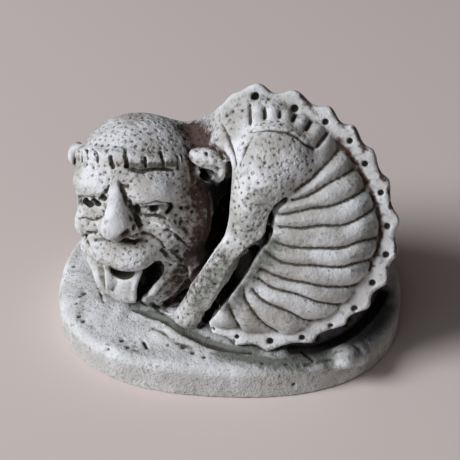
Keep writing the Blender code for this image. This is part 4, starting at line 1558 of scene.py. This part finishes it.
    def material(self) -> bpy.types.Material:
        """The stone as a material that reads the casting's own masks.

        Cast stone is matt and chalky and has no sheen. The eye sees its grain and pores, the wash that was
        left in every recess when the high parts were wiped, and the dirt and green film of long standing.
        Painted shade darkens the recesses too, and near-black painted shade fills the deep gaps and the
        painted shadow strokes.

        Returns:
            The material.
        """
        material = bpy.data.materials.new("weathered cast stone")
        material.use_nodes = True
        tree = material.node_tree
        shader = tree.nodes["Principled BSDF"]
        shader.inputs["Roughness"].default_value = self.roughness
        shader.inputs["Specular IOR Level"].default_value = self.specular
        place = add_node(tree, "ShaderNodeTexCoord").outputs["Object"]
        noise = self._noises(tree, place)
        masks = {
            name: add_node(tree, "ShaderNodeAttribute", attribute_name=name).outputs["Fac"]
            for name in "recess wash hollow depth pit stain moss side crown pale".split()
        }
        pit_deep, masks["pit edge"] = self._dimples(tree, place, self.pit_pitch, "stipple")
        grit_deep, masks["grit edge"] = self._dimples(tree, place, self.grit_pitch, "gritty")
        tree.links.new(self._colour(tree, noise, masks), shader.inputs["Base Color"])
        feeds = {0: noise["grain"], 1: 0.5, 2: noise["pore"]}
        height = add_node(tree, "ShaderNodeMath", feeds, operation="MULTIPLY_ADD").outputs[0]
        bumps: dict = {}
        for level, relief in (
            (height, self.grain_relief), (pit_deep, self.pit_relief), (grit_deep, self.grit_relief),
        ):
            feeds = {"Height": level, "Distance": relief, "Strength": self.bump} | bumps
            bumps = {"Normal": add_node(tree, "ShaderNodeBump", feeds).outputs[0]}
        tree.links.new(bumps["Normal"], shader.inputs["Normal"])
        return material


@dataclass(frozen=True)
class Weathering:
    """A Geometry Nodes tree: noise that makes the skin uneven, then pits pricked over the hide."""

    INPUTS = ("Swell", "Swell Size", "Wear", "Wear Size", "Spacing", "Pit Width", "Pit Depth")

    swell: float = 0.3 * MM
    swell_size: float = 6.0 * MM
    wear: float = 0.13 * MM
    wear_size: float = 1.3 * MM
    spacing: float = 1.6 * MM
    pit_width: float = 1.45 * MM
    pit_depth: float = 0.3 * MM
    density: float = 1.2e6  # pits per square metre, before the spacing thins them
    waver_size: float = 3.1 * MM
    waver_widths: tuple[float, float] = (0.36, 0.6)  # least and most reach of a pit, as shares of its width
    seed: int = 7

    def _uneven(self, tree: Tree, given: bpy.types.NodeOutputs) -> Socket:
        """Swells and wears the skin with two noises, more where it is marked as rough.

        Args:
            tree: the nodes.
            given: the tree's inputs.

        Returns:
            The uneven mesh.
        """
        normal = add_node(tree, "GeometryNodeInputNormal").outputs[0]
        kind = "GeometryNodeInputNamedAttribute"
        rough = add_node(tree, kind, {"Name": "rough"}, data_type="FLOAT").outputs[0]
        mesh = given["Geometry"]
        for name in ("Swell", "Wear"):
            scale = add_node(tree, "ShaderNodeMath", {0: 1.0, 1: given[f"{name} Size"]}, operation="DIVIDE")
            feeds = {"Scale": scale.outputs[0], "Detail": 2.0}
            noise = add_node(tree, "ShaderNodeTexNoise", feeds).outputs["Fac"]
            level = add_node(tree, "ShaderNodeMath", {0: noise, 1: 0.5}, operation="SUBTRACT").outputs[0]
            for factor in (given[name], rough):
                feeds = {0: level, 1: factor}
                level = add_node(tree, "ShaderNodeMath", feeds, operation="MULTIPLY").outputs[0]
            offset = add_node(tree, "ShaderNodeVectorMath", {0: normal, "Scale": level}, operation="SCALE")
            feeds = {"Geometry": mesh, "Offset": offset.outputs[0]}
            mesh = add_node(tree, "GeometryNodeSetPosition", feeds).outputs[0]
        return mesh

    def _pricked(self, tree: Tree, given: bpy.types.NodeOutputs, mesh: Socket) -> Socket:
        """Pricks pits of different sizes where the skin is marked as stippled, and marks their slopes.

        Args:
            tree: the nodes.
            given: the tree's inputs.
            mesh: the uneven mesh.

        Returns:
            The pricked mesh.
        """
        kind = "GeometryNodeInputNamedAttribute"
        stipple = add_node(tree, kind, {"Name": "stipple"}, data_type="FLOAT").outputs[0]
        feeds = {
            "Mesh": mesh, "Distance Min": given["Spacing"], "Density Max": self.density,
            "Density Factor": stipple, "Seed": given["Seed"],
        }
        pricks = add_node(tree, "GeometryNodeDistributePointsOnFaces", feeds, distribute_method="POISSON")
        feeds = {0: pricks.outputs["Points"]}
        away = add_node(tree, "GeometryNodeProximity", feeds, target_element="POINTS").outputs["Distance"]
        feeds = {"Scale": 1 / self.waver_size, "Detail": 1.0}
        waver = add_node(tree, "ShaderNodeTexNoise", feeds).outputs["Fac"]
        least, most = self.waver_widths
        feeds = {"Value": waver, "From Min": 0.3, "From Max": 0.7, "To Min": least, "To Max": most}
        size = add_node(tree, "ShaderNodeMapRange", feeds).outputs[0]
        reach = add_node(tree, "ShaderNodeMath", {0: given["Pit Width"], 1: size}, operation="MULTIPLY")
        feeds = {"Value": away, "From Min": 0.0, "From Max": reach.outputs[0], "To Min": 1.0, "To Max": 0.0}
        dent = add_node(tree, "ShaderNodeMapRange", feeds, interpolation_type="SMOOTHSTEP").outputs[0]
        sink = add_node(tree, "ShaderNodeMath", {0: dent, 1: given["Pit Depth"]}, operation="MULTIPLY")
        back = add_node(tree, "ShaderNodeMath", {0: sink.outputs[0], 1: -1.0}, operation="MULTIPLY")
        feeds = {0: add_node(tree, "GeometryNodeInputNormal").outputs[0], "Scale": back.outputs[0]}
        offset = add_node(tree, "ShaderNodeVectorMath", feeds, operation="SCALE").outputs[0]
        edge = add_node(tree, "ShaderNodeMath", {0: 1.0, 1: dent}, operation="SUBTRACT").outputs[0]
        ring = add_node(tree, "ShaderNodeMath", {0: edge, 1: dent}, operation="MULTIPLY").outputs[0]
        feeds = {"Geometry": mesh, "Name": "pit", "Value": ring}
        marked = add_node(tree, "GeometryNodeStoreNamedAttribute", feeds, data_type="FLOAT", domain="POINT")
        feeds = {"Geometry": marked.outputs[0], "Offset": offset}
        return add_node(tree, "GeometryNodeSetPosition", feeds).outputs[0]

    def tree(self, stone: bpy.types.Material) -> Tree:
        """Builds the tree.

        Args:
            stone: the casting's material.

        Returns:
            The node group, whose inputs are its sizes.
        """
        tree = bpy.data.node_groups.new("weathered and pricked", "GeometryNodeTree")
        face = tree.interface
        for side in ("INPUT", "OUTPUT"):
            face.new_socket("Geometry", in_out=side, socket_type="NodeSocketGeometry")
        for name in self.INPUTS:
            face.new_socket(name, in_out="INPUT", socket_type="NodeSocketFloat")
        face.new_socket("Seed", in_out="INPUT", socket_type="NodeSocketInt")
        given = add_node(tree, "NodeGroupInput").outputs
        pricked = self._pricked(tree, given, self._uneven(tree, given))
        real = add_node(tree, "GeometryNodeRealizeInstances", {0: pricked})
        feeds = {"Geometry": real.outputs[0], "Material": stone}
        dressed = add_node(tree, "GeometryNodeSetMaterial", feeds)
        add_node(tree, "NodeGroupOutput", {0: dressed.outputs[0]})
        return tree

    def apply(self, piece: bpy.types.Object, stone: bpy.types.Material) -> None:
        """Puts the tree on a piece as a modifier with its sizes.

        Args:
            piece: the piece.
            stone: its material.
        """
        tree = self.tree(stone)
        modifier = piece.modifiers.new("weathering", "NODES")
        modifier.node_group = tree
        given = (item for item in tree.interface.items_tree if item.in_out == "INPUT")
        sockets = {item.name: item.identifier for item in given}
        for name in (*self.INPUTS, "Seed"):
            modifier[sockets[name]] = getattr(self, name.lower().replace(" ", "_"))


@dataclass(frozen=True)
class GrimeAndShade:
    """Wash, dirt and painted shade: darker recesses and near-black hollows, and stains, moss and painted
    shadows where strokes on the picture put them.
    """

    # brown stains, and painted shade in the same brown: down the head's shaded side, along the crest's lobes
    # and rib tips, in the mouth's wall and the jaw's crease
    stains_and_shade: tuple[Stroke, ...] = (
        (((188, 129), (197, 136), (207, 143)), 4.0, 1.3),
        (((213, 146), (223, 153), (230, 161), (231, 170)), 2.2, 0.75),
        (((188, 150), (190, 165), (193, 180)), 1.6, 0.9), (((200, 129), (214, 131)), 2.2, 0.4),
        (((192, 186), (197, 200), (200, 215), (199, 231), (194, 247), (187, 262), (177, 277)), 3.4, 0.85),
        (((184, 172), (186, 195), (188, 215), (187, 236)), 2.0, 0.55),
        (((200, 182), (205, 196), (208, 212), (207, 228), (203, 243)), 3.0, 1.15),
        (((203, 243), (196, 256), (188, 268), (178, 280)), 3.0, 0.7),
        (((219, 252), (208, 267), (200, 279), (191, 291), (182, 302)), 2.2, 0.55),
        (((338, 141), (345, 149), (352, 157), (357, 165), (362, 174), (366, 183)), 1.0, 0.9),
        (((370, 190), (374, 199), (378, 212), (380, 226), (380, 238), (376, 252), (370, 268)), 1.0, 0.8),
        (((301, 96), (306, 101), (311, 108)), 0.8, 1.0), (((332, 109), (337, 118), (343, 126)), 0.8, 1.0),
        (((355, 129), (359, 139), (364, 149)), 0.8, 1.0), (((378, 164), (380, 172), (384, 180)), 0.8, 1.0),
        (((388, 190), (391, 200), (391, 207)), 0.8, 1.0), (((394, 238), (396, 248), (396, 258)), 0.7, 0.9),
        (((387, 268), (388, 276), (386, 285)), 0.7, 0.9), (((349, 319), (345, 325)), 1.2, 0.9),
        (((317, 337), (314, 341)), 1.0, 0.9), (((278, 349), (284, 346)), 0.8, 0.8),
        (((249, 343), (254, 345)), 0.7, 0.7), (((139, 286), (138, 298)), 1.2, 0.6),
        (((172, 297), (180, 303), (166, 302)), 1.8, 0.7), (((188, 270), (178, 284), (168, 293)), 1.6, 0.7),
        (((201, 269), (188, 284), (175, 297), (166, 304)), 2.2, 1.0),
        (((176, 266), (168, 280), (158, 294)), 1.6, 0.5), (((196, 286), (184, 298), (176, 306)), 1.8, 0.6),
    )
    # green film, and painted shade in the same green-grey: under the fringe, in the ear, eyes and mouth,
    # along the limb and the rib ends, and where the crest meets the slab
    mosses_and_shade: tuple[Stroke, ...] = (
        (((136, 311), (142, 312), (150, 315)), 1.6, 0.6),
        (((150, 315), (170, 323), (180, 330), (195, 338), (210, 345), (225, 349), (255, 352)), 1.7, 1.1),
        (((152, 328), (158, 331)), 1.0, 0.5), (((182, 345), (188, 347)), 0.9, 0.5),
        (((222, 353), (240, 357), (258, 359)), 3.0, 0.75),
        (((262, 361), (282, 363), (304, 362)), 3.4, 0.75), (((316, 356), (328, 358)), 3.0, 0.95),
        (((262, 198), (253, 216), (246, 233)), 4.0, 0.42), (((118, 340), (132, 350)), 3.0, 0.35),
        (((80, 292), (80, 305), (82, 320)), 2.0, 0.4),
        (((128, 164), (140, 166), (152, 165), (165, 164.5), (176, 164)), 0.9, 0.9),
        (((204, 169), (212, 171), (216, 175)), 1.3, 0.8),
        (((226, 262), (216, 275), (207, 288), (197, 301)), 3.2, 0.6),
        (((352, 168), (361, 188), (367, 208), (370, 230), (366, 250), (358, 268)), 3.4, 0.5),
        (((272, 243), (264, 258), (252, 276), (241, 292), (230, 306)), 3.2, 0.62),
        (((112, 268), (122, 272), (131, 272)), 1.4, 0.9), (((136, 207), (139, 212)), 1.3, 0.9),
        (((153, 208), (157, 208)), 1.3, 0.8), (((168, 207), (167, 213)), 1.2, 0.8),
        (((78, 201), (88, 203), (97, 203)), 1.2, 0.8), (((100, 268), (104, 284)), 1.3, 0.5),
        (((340, 355), (360, 356)), 2.5, 0.3),
    )
    # painted shadow: near-black strokes in the throat, the gaps beside the limb, the mouth, an eye, the
    # nostril, the ears, and where the crest shades the slab
    depths: tuple[Stroke, ...] = (
        (((212, 184), (215, 200), (216, 215), (214, 230), (209, 244), (204, 254)), 2.6, 1.2),
        (((222, 186), (222, 200), (221, 215), (218, 230), (212, 245), (205, 258)), 3.8, 1.3),
        (((230, 178), (230, 192), (229, 206), (226, 222), (221, 236)), 3.0, 1.3),
        (((272, 218), (269, 231), (266, 241), (259, 248)), 1.4, 1.0),
        (((254, 251), (246, 260), (239, 270), (233, 280), (226, 290), (219, 300), (212, 311)), 3.4, 1.4),
        (((156, 266), (152, 274), (147, 284), (141, 293), (138, 300)), 1.6, 1.0),
        (((113, 272), (122, 274), (132, 275)), 1.0, 0.4), (((137, 206), (138, 211)), 0.8, 0.4),
        (((127, 233), (124, 236)), 0.9, 0.8), (((204, 173), (209, 177)), 1.0, 0.8),
        (((75, 159), (75, 166)), 0.8, 0.9),
        (((292, 350), (315, 349), (335, 342), (350, 334), (364, 322), (376, 308), (383, 294)), 3.4, 1.15),
        (((340, 344), (354, 342), (367, 335), (378, 323), (386, 308)), 4.2, 0.9),
    )
    # recess and wash darken fine and wider creases, partly painted shade; hollow is painted shade in the
    # deep gaps; crown pales the high parts
    shades: tuple[tuple[str, float, float, float], ...] = (
        ("recess", 0.7, 0.515, 6.0), ("wash", 1.4, 0.53, 5.0), ("hollow", 2.8, 0.62, 5.0),
        ("crown", 1.4, 0.43, -5.0),
    )  # mask, how far round it looks in mm, the share of stone there that starts it, and its gain
    side_top: float = 9.0  # the slab's side is marked under this height
    side_fade: float = 1.5  # how far under it the mark comes on

    def _brushed(self, points: np.ndarray, clay: Clay, strokes: tuple[Stroke, ...]) -> np.ndarray:
        """Finds how much strokes of stain, moss and painted shade, drawn on the picture, cover points.

        Args:
            points: the points.
            clay: the block, which is sighted for where the strokes lie.
            strokes: marks, radius and strength each.

        Returns:
            The cover at each point.
        """
        cover = np.zeros(len(points))
        for marks, radius, strength in strokes:
            line, _ = clay.seen(drawn_line(marks, 3.0))
            for spot in line:
                near = np.abs(points - spot).max(axis=1) < radius * 2
                away = np.linalg.norm(points[near] - spot, axis=1) / radius
                cover[near] = np.maximum(cover[near], strength * np.exp(-(away**2)))
        return cover

    def mark(self, mesh: bpy.types.Mesh, clay: Clay) -> None:
        """Stores the masks on a skin.

        Args:
            mesh: the skin, which is changed in place.
            clay: the block it was drawn from.
        """
        points = np.empty(3 * len(mesh.vertices), np.float32)
        mesh.vertices.foreach_get("co", points)
        points = points.reshape(-1, 3) / MM
        filled = np.clip(0.5 - clay.value / clay.cell, 0, 1)
        stone = {
            size: clay.sample(box_blur(filled, max(1, round(size / clay.cell))), points)
            for size in {shade[1] for shade in self.shades}
        }
        masks = {
            name: np.clip((stone[size] - start) * gain, 0, 1) for name, size, start, gain in self.shades
        }
        # depth is painted shadow; stain and moss carry painted shade as well as real stains and moss
        for name, strokes in (("depth", self.depths), ("stain", self.stains_and_shade), ("moss", self.mosses_and_shade)):
            masks[name] = self._brushed(points, clay, strokes)
        masks["side"] = np.clip((self.side_top - points[:, 2]) / self.side_fade, 0, 1)
        for name, values in masks.items():
            mesh.attributes.new(name, "FLOAT", "POINT").data.foreach_set("value", values.astype(np.float32))


@dataclass(frozen=True)
class Casting:
    """The whole casting: the clay is built up, skinned, weathered, thinned and masked."""

    slab: Slab = field(default_factory=Slab)
    body: Body = field(default_factory=Body)
    head: Head = field(default_factory=Head)
    weathering: Weathering = field(default_factory=Weathering)
    stone: StoneFinish = field(default_factory=StoneFinish)
    grime_and_shade: GrimeAndShade = field(default_factory=GrimeAndShade)
    low: Point = (-51.5, -43.5, -1.2)
    high: Point = (51.5, 43.5, 77.0)
    cell: float = 0.33
    rough_cell: float = 0.6
    triangles: int = 192_000
    same_place: float = 0.001 * MM  # corners nearer than this are one

    def build(self, view: Viewpoint) -> bpy.types.Object:
        """Makes the piece.

        Args:
            view: where the photograph was taken from.

        Returns:
            The casting, at the origin, with its place in its mesh.
        """
        clay = self._modelled(view)
        finished = self._skinned(clay)
        self._mend(finished)
        piece = placed("gargoyle_casting", finished)
        finished.shade_smooth()
        self.grime_and_shade.mark(finished, clay)
        LOG.info("casting: %s triangles", sum(len(face.vertices) - 2 for face in finished.polygons))
        return piece

    def _modelled(self, view: Viewpoint) -> Clay:
        """Builds the clay up, from the slab to the marks on it.

        Args:
            view: where the photograph was taken from.

        Returns:
            The block.
        """
        clay = Clay(self.low, self.high, self.cell, view)
        self.slab.sculpt(clay)
        self.body.sculpt(clay)
        self.head.sculpt(clay)
        self.body.hollow_out(clay)
        self.body.crest.drill(clay)
        self.slab.dress(clay)
        LOG.info("clay built: %s cells", clay.value.size)
        return clay

    def _skinned(self, clay: Clay) -> bpy.types.Mesh:
        """Draws the skin over the clay, weathers it and thins it.

        Args:
            clay: the finished block.

        Returns:
            The skin.
        """
        vertices, faces = clay.skin()
        mesh = bpy.data.meshes.new("gargoyle_casting")
        mesh.from_pydata((vertices * MM).tolist(), [], faces.tolist())
        self._mark_stipple(mesh, clay, vertices)
        rough = placed("rough casting", mesh)
        LOG.info("skin: %s faces", len(faces))
        self.weathering.apply(rough, self.stone.material())
        thin = rough.modifiers.new("fewer facets", "DECIMATE")
        thin.ratio = min(1.0, self.triangles / (2 * len(faces)))
        evaluated = rough.evaluated_get(bpy.context.evaluated_depsgraph_get())
        skin = bpy.data.meshes.new_from_object(evaluated)
        bpy.data.objects.remove(rough, do_unlink=True)
        return skin

    def _mend(self, mesh: bpy.types.Mesh) -> None:
        """Drops doubled faces and loose crumbs from the thinned skin, and closes what that opens.

        Args:
            mesh: the skin, which is changed in place.
        """
        skin = bmesh.new()
        skin.from_mesh(mesh)
        bmesh.ops.remove_doubles(skin, verts=skin.verts, dist=self.same_place)
        skin.verts.index_update()
        twins: dict[tuple[int, ...], list] = {}
        for face in skin.faces:
            twins.setdefault(tuple(sorted(vertex.index for vertex in face.verts)), []).append(face)
        doubled = [face for group in twins.values() if len(group) > 1 for face in group]
        bmesh.ops.delete(skin, geom=doubled, context="FACES")
        parts = sorted(self._parts(skin), key=len)
        crumbs = [face for part in parts[:-1] for face in part]
        bmesh.ops.delete(skin, geom=crumbs, context="FACES")
        open_edges = [link for link in skin.edges if link.is_boundary]
        lids = bmesh.ops.holes_fill(skin, edges=open_edges, sides=0)["faces"]
        bmesh.ops.triangulate(skin, faces=lids)
        counts = (len(doubled), len(parts) - 1, len(open_edges))
        LOG.info("mended: %s doubled faces, %s crumbs, %s open edges", *counts)
        skin.to_mesh(mesh)
        skin.free()

    @staticmethod
    def _parts(skin: bmesh.types.BMesh) -> list[set]:
        """Sorts faces into parts that hang together through edges of exactly two faces.

        Args:
            skin: the skin.

        Returns:
            The faces of each part.
        """
        left = set(skin.faces)
        parts = []
        while left:
            part = front = {left.pop()}
            while front:
                seams = {seam for face in front for seam in face.edges if len(seam.link_faces) == 2}
                front = {face for seam in seams for face in seam.link_faces} & left
                left -= front
                part = part | front
            parts.append(part)
        return parts

    def _mark_stipple(self, mesh: bpy.types.Mesh, clay: Clay, vertices: np.ndarray) -> None:
        """Stores how densely each vertex's part of the skin is pricked and how uneven it is.

        Args:
            mesh: the skin, which is changed in place.
            clay: the block it was drawn from.
            vertices: the places of its vertices.
        """
        at = np.round((vertices - clay.low) / clay.cell).astype(int)
        finish = clay.finish[tuple(at.T)]
        tables = {
            "stipple": {Finish.STIPPLED: 1.0, Finish.SPARSE: 0.25},
            "pale": {Finish.SLAB: 1.0, Finish.CREST: 0.8},
            "gritty": {Finish.SLAB: 0.6, Finish.STIPPLED: 0.4, Finish.SPARSE: 0.4, Finish.SMOOTH: 0.2},
            "rough": {
                Finish.SMOOTH: 0.9, Finish.STIPPLED: 1.3, Finish.RIBBED: 0.7, Finish.SLAB: 1.9,
                Finish.CREST: 0.9, Finish.SPARSE: 1.1,
            },
        }
        for name, table in tables.items():
            values = np.array([table.get(Finish(number), 0.0) for number in range(len(Finish))], np.float32)
            mesh.attributes.new(name, "FLOAT", "POINT").data.foreach_set("value", values[finish])


@dataclass(frozen=True)
class Studio:
    """A plain pale floor, soft light from the upper left, and the photograph's camera."""

    floor_colour: str = "#DACDC4"
    floor_side: float = 3.0
    floor_gap: float = 0.00005
    floor_roughness: float = 0.9
    key_place: Point = (-1.63, -0.73, 1.29)
    key_size: float = 1.0
    key_power: float = 50.0
    key_colour: str = "#F3F6FF"
    key_aim: Point = (0.0, 0.0, 0.03)
    sky_colour: str = "#DCE6F6"
    dusk_colour: str = "#B98560"  # a brown room reflects on the side away from the window
    sky_side: Point = (-0.52, -0.70, 0.49)  # where the sky is brightest
    sky_strength: tuple[float, float] = (0.008, 0.7)  # away from that side, and towards it
    sky_start: float = 0.36  # the cosine of the angle from that side within which it brightens

    def build(self, view: Viewpoint) -> None:
        """Sets the floor, light and camera.

        Args:
            view: where the photograph was taken from.
        """
        self._floor()
        self._light()
        self._sky()
        camera = bpy.data.cameras.new("camera")
        camera.lens, camera.sensor_width, camera.clip_start = view.lens, view.film, 0.01
        holder = placed("camera", camera)
        holder.location = Vector(view.eye * MM)
        holder.rotation_euler = Vector(-view.back).to_track_quat("-Z", "Y").to_euler()
        bpy.context.scene.camera = holder
        bpy.context.scene.view_settings.view_transform = "Standard"

    def _floor(self) -> None:
        """Lays the floor, a hair under the slab.

        It is matt and even, so the eye sees nothing on it but the object's shadow.
        """
        half = self.floor_side / 2
        mesh = bpy.data.meshes.new("floor")
        corners = [(x * half, y * half, -self.floor_gap) for x, y in ((-1, -1), (1, -1), (1, 1), (-1, 1))]
        mesh.from_pydata(corners, [], [(0, 1, 2, 3)])
        material = bpy.data.materials.new("plain pale floor")
        material.use_nodes = True
        shader = material.node_tree.nodes["Principled BSDF"]
        shader.inputs["Base Color"].default_value = linear(self.floor_colour)
        shader.inputs["Roughness"].default_value = self.floor_roughness
        mesh.materials.append(material)
        floor = placed("floor", mesh)

    def _light(self) -> None:
        """Hangs the key light, which stands for the window."""
        lamp = bpy.data.lights.new("key", "AREA")
        lamp.shape, lamp.size, lamp.energy = "DISK", self.key_size, self.key_power
        lamp.color = linear(self.key_colour)[:3]
        holder = placed("key", lamp)
        holder.location = self.key_place
        aim = Vector(self.key_aim) - Vector(self.key_place)
        holder.rotation_euler = aim.to_track_quat("-Z", "Y").to_euler()

    def _sky(self) -> None:
        """Lights the scene from all round: pale on the window's side, dim and brown away from it."""
        world = bpy.data.worlds.new("sky")
        world.use_nodes = True
        tree = world.node_tree
        background = tree.nodes["Background"]
        place = add_node(tree, "ShaderNodeTexCoord").outputs["Generated"]
        side = add_node(tree, "ShaderNodeVectorMath", {0: place, 1: self.sky_side}, operation="DOT_PRODUCT")
        feeds = {"Value": side.outputs["Value"], "From Min": self.sky_start, "From Max": 1.0}
        share = add_node(tree, "ShaderNodeMapRange", feeds, interpolation_type="SMOOTHSTEP").outputs[0]
        colours = {0: share, 6: linear(self.dusk_colour), 7: linear(self.sky_colour)}
        colour = add_node(tree, "ShaderNodeMix", colours, data_type="RGBA").outputs[2]
        away, towards = self.sky_strength
        feeds = {"Value": share, "To Min": away, "To Max": towards}
        strength = add_node(tree, "ShaderNodeMapRange", feeds).outputs[0]
        tree.links.new(colour, background.inputs["Color"])
        tree.links.new(strength, background.inputs["Strength"])
        bpy.context.scene.world = world


def main() -> None:
    """Builds the casting and the studio."""
    logging.basicConfig(level=logging.INFO, format="%(name)s: %(message)s", stream=sys.stdout)
    view = Viewpoint()
    piece = Casting().build(view)
    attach(piece, "root")
    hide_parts("gargoyle")
    LOG.info("piece %s rides on root", piece.name)
    Studio().build(view)


if __name__ == "__main__":
    main()
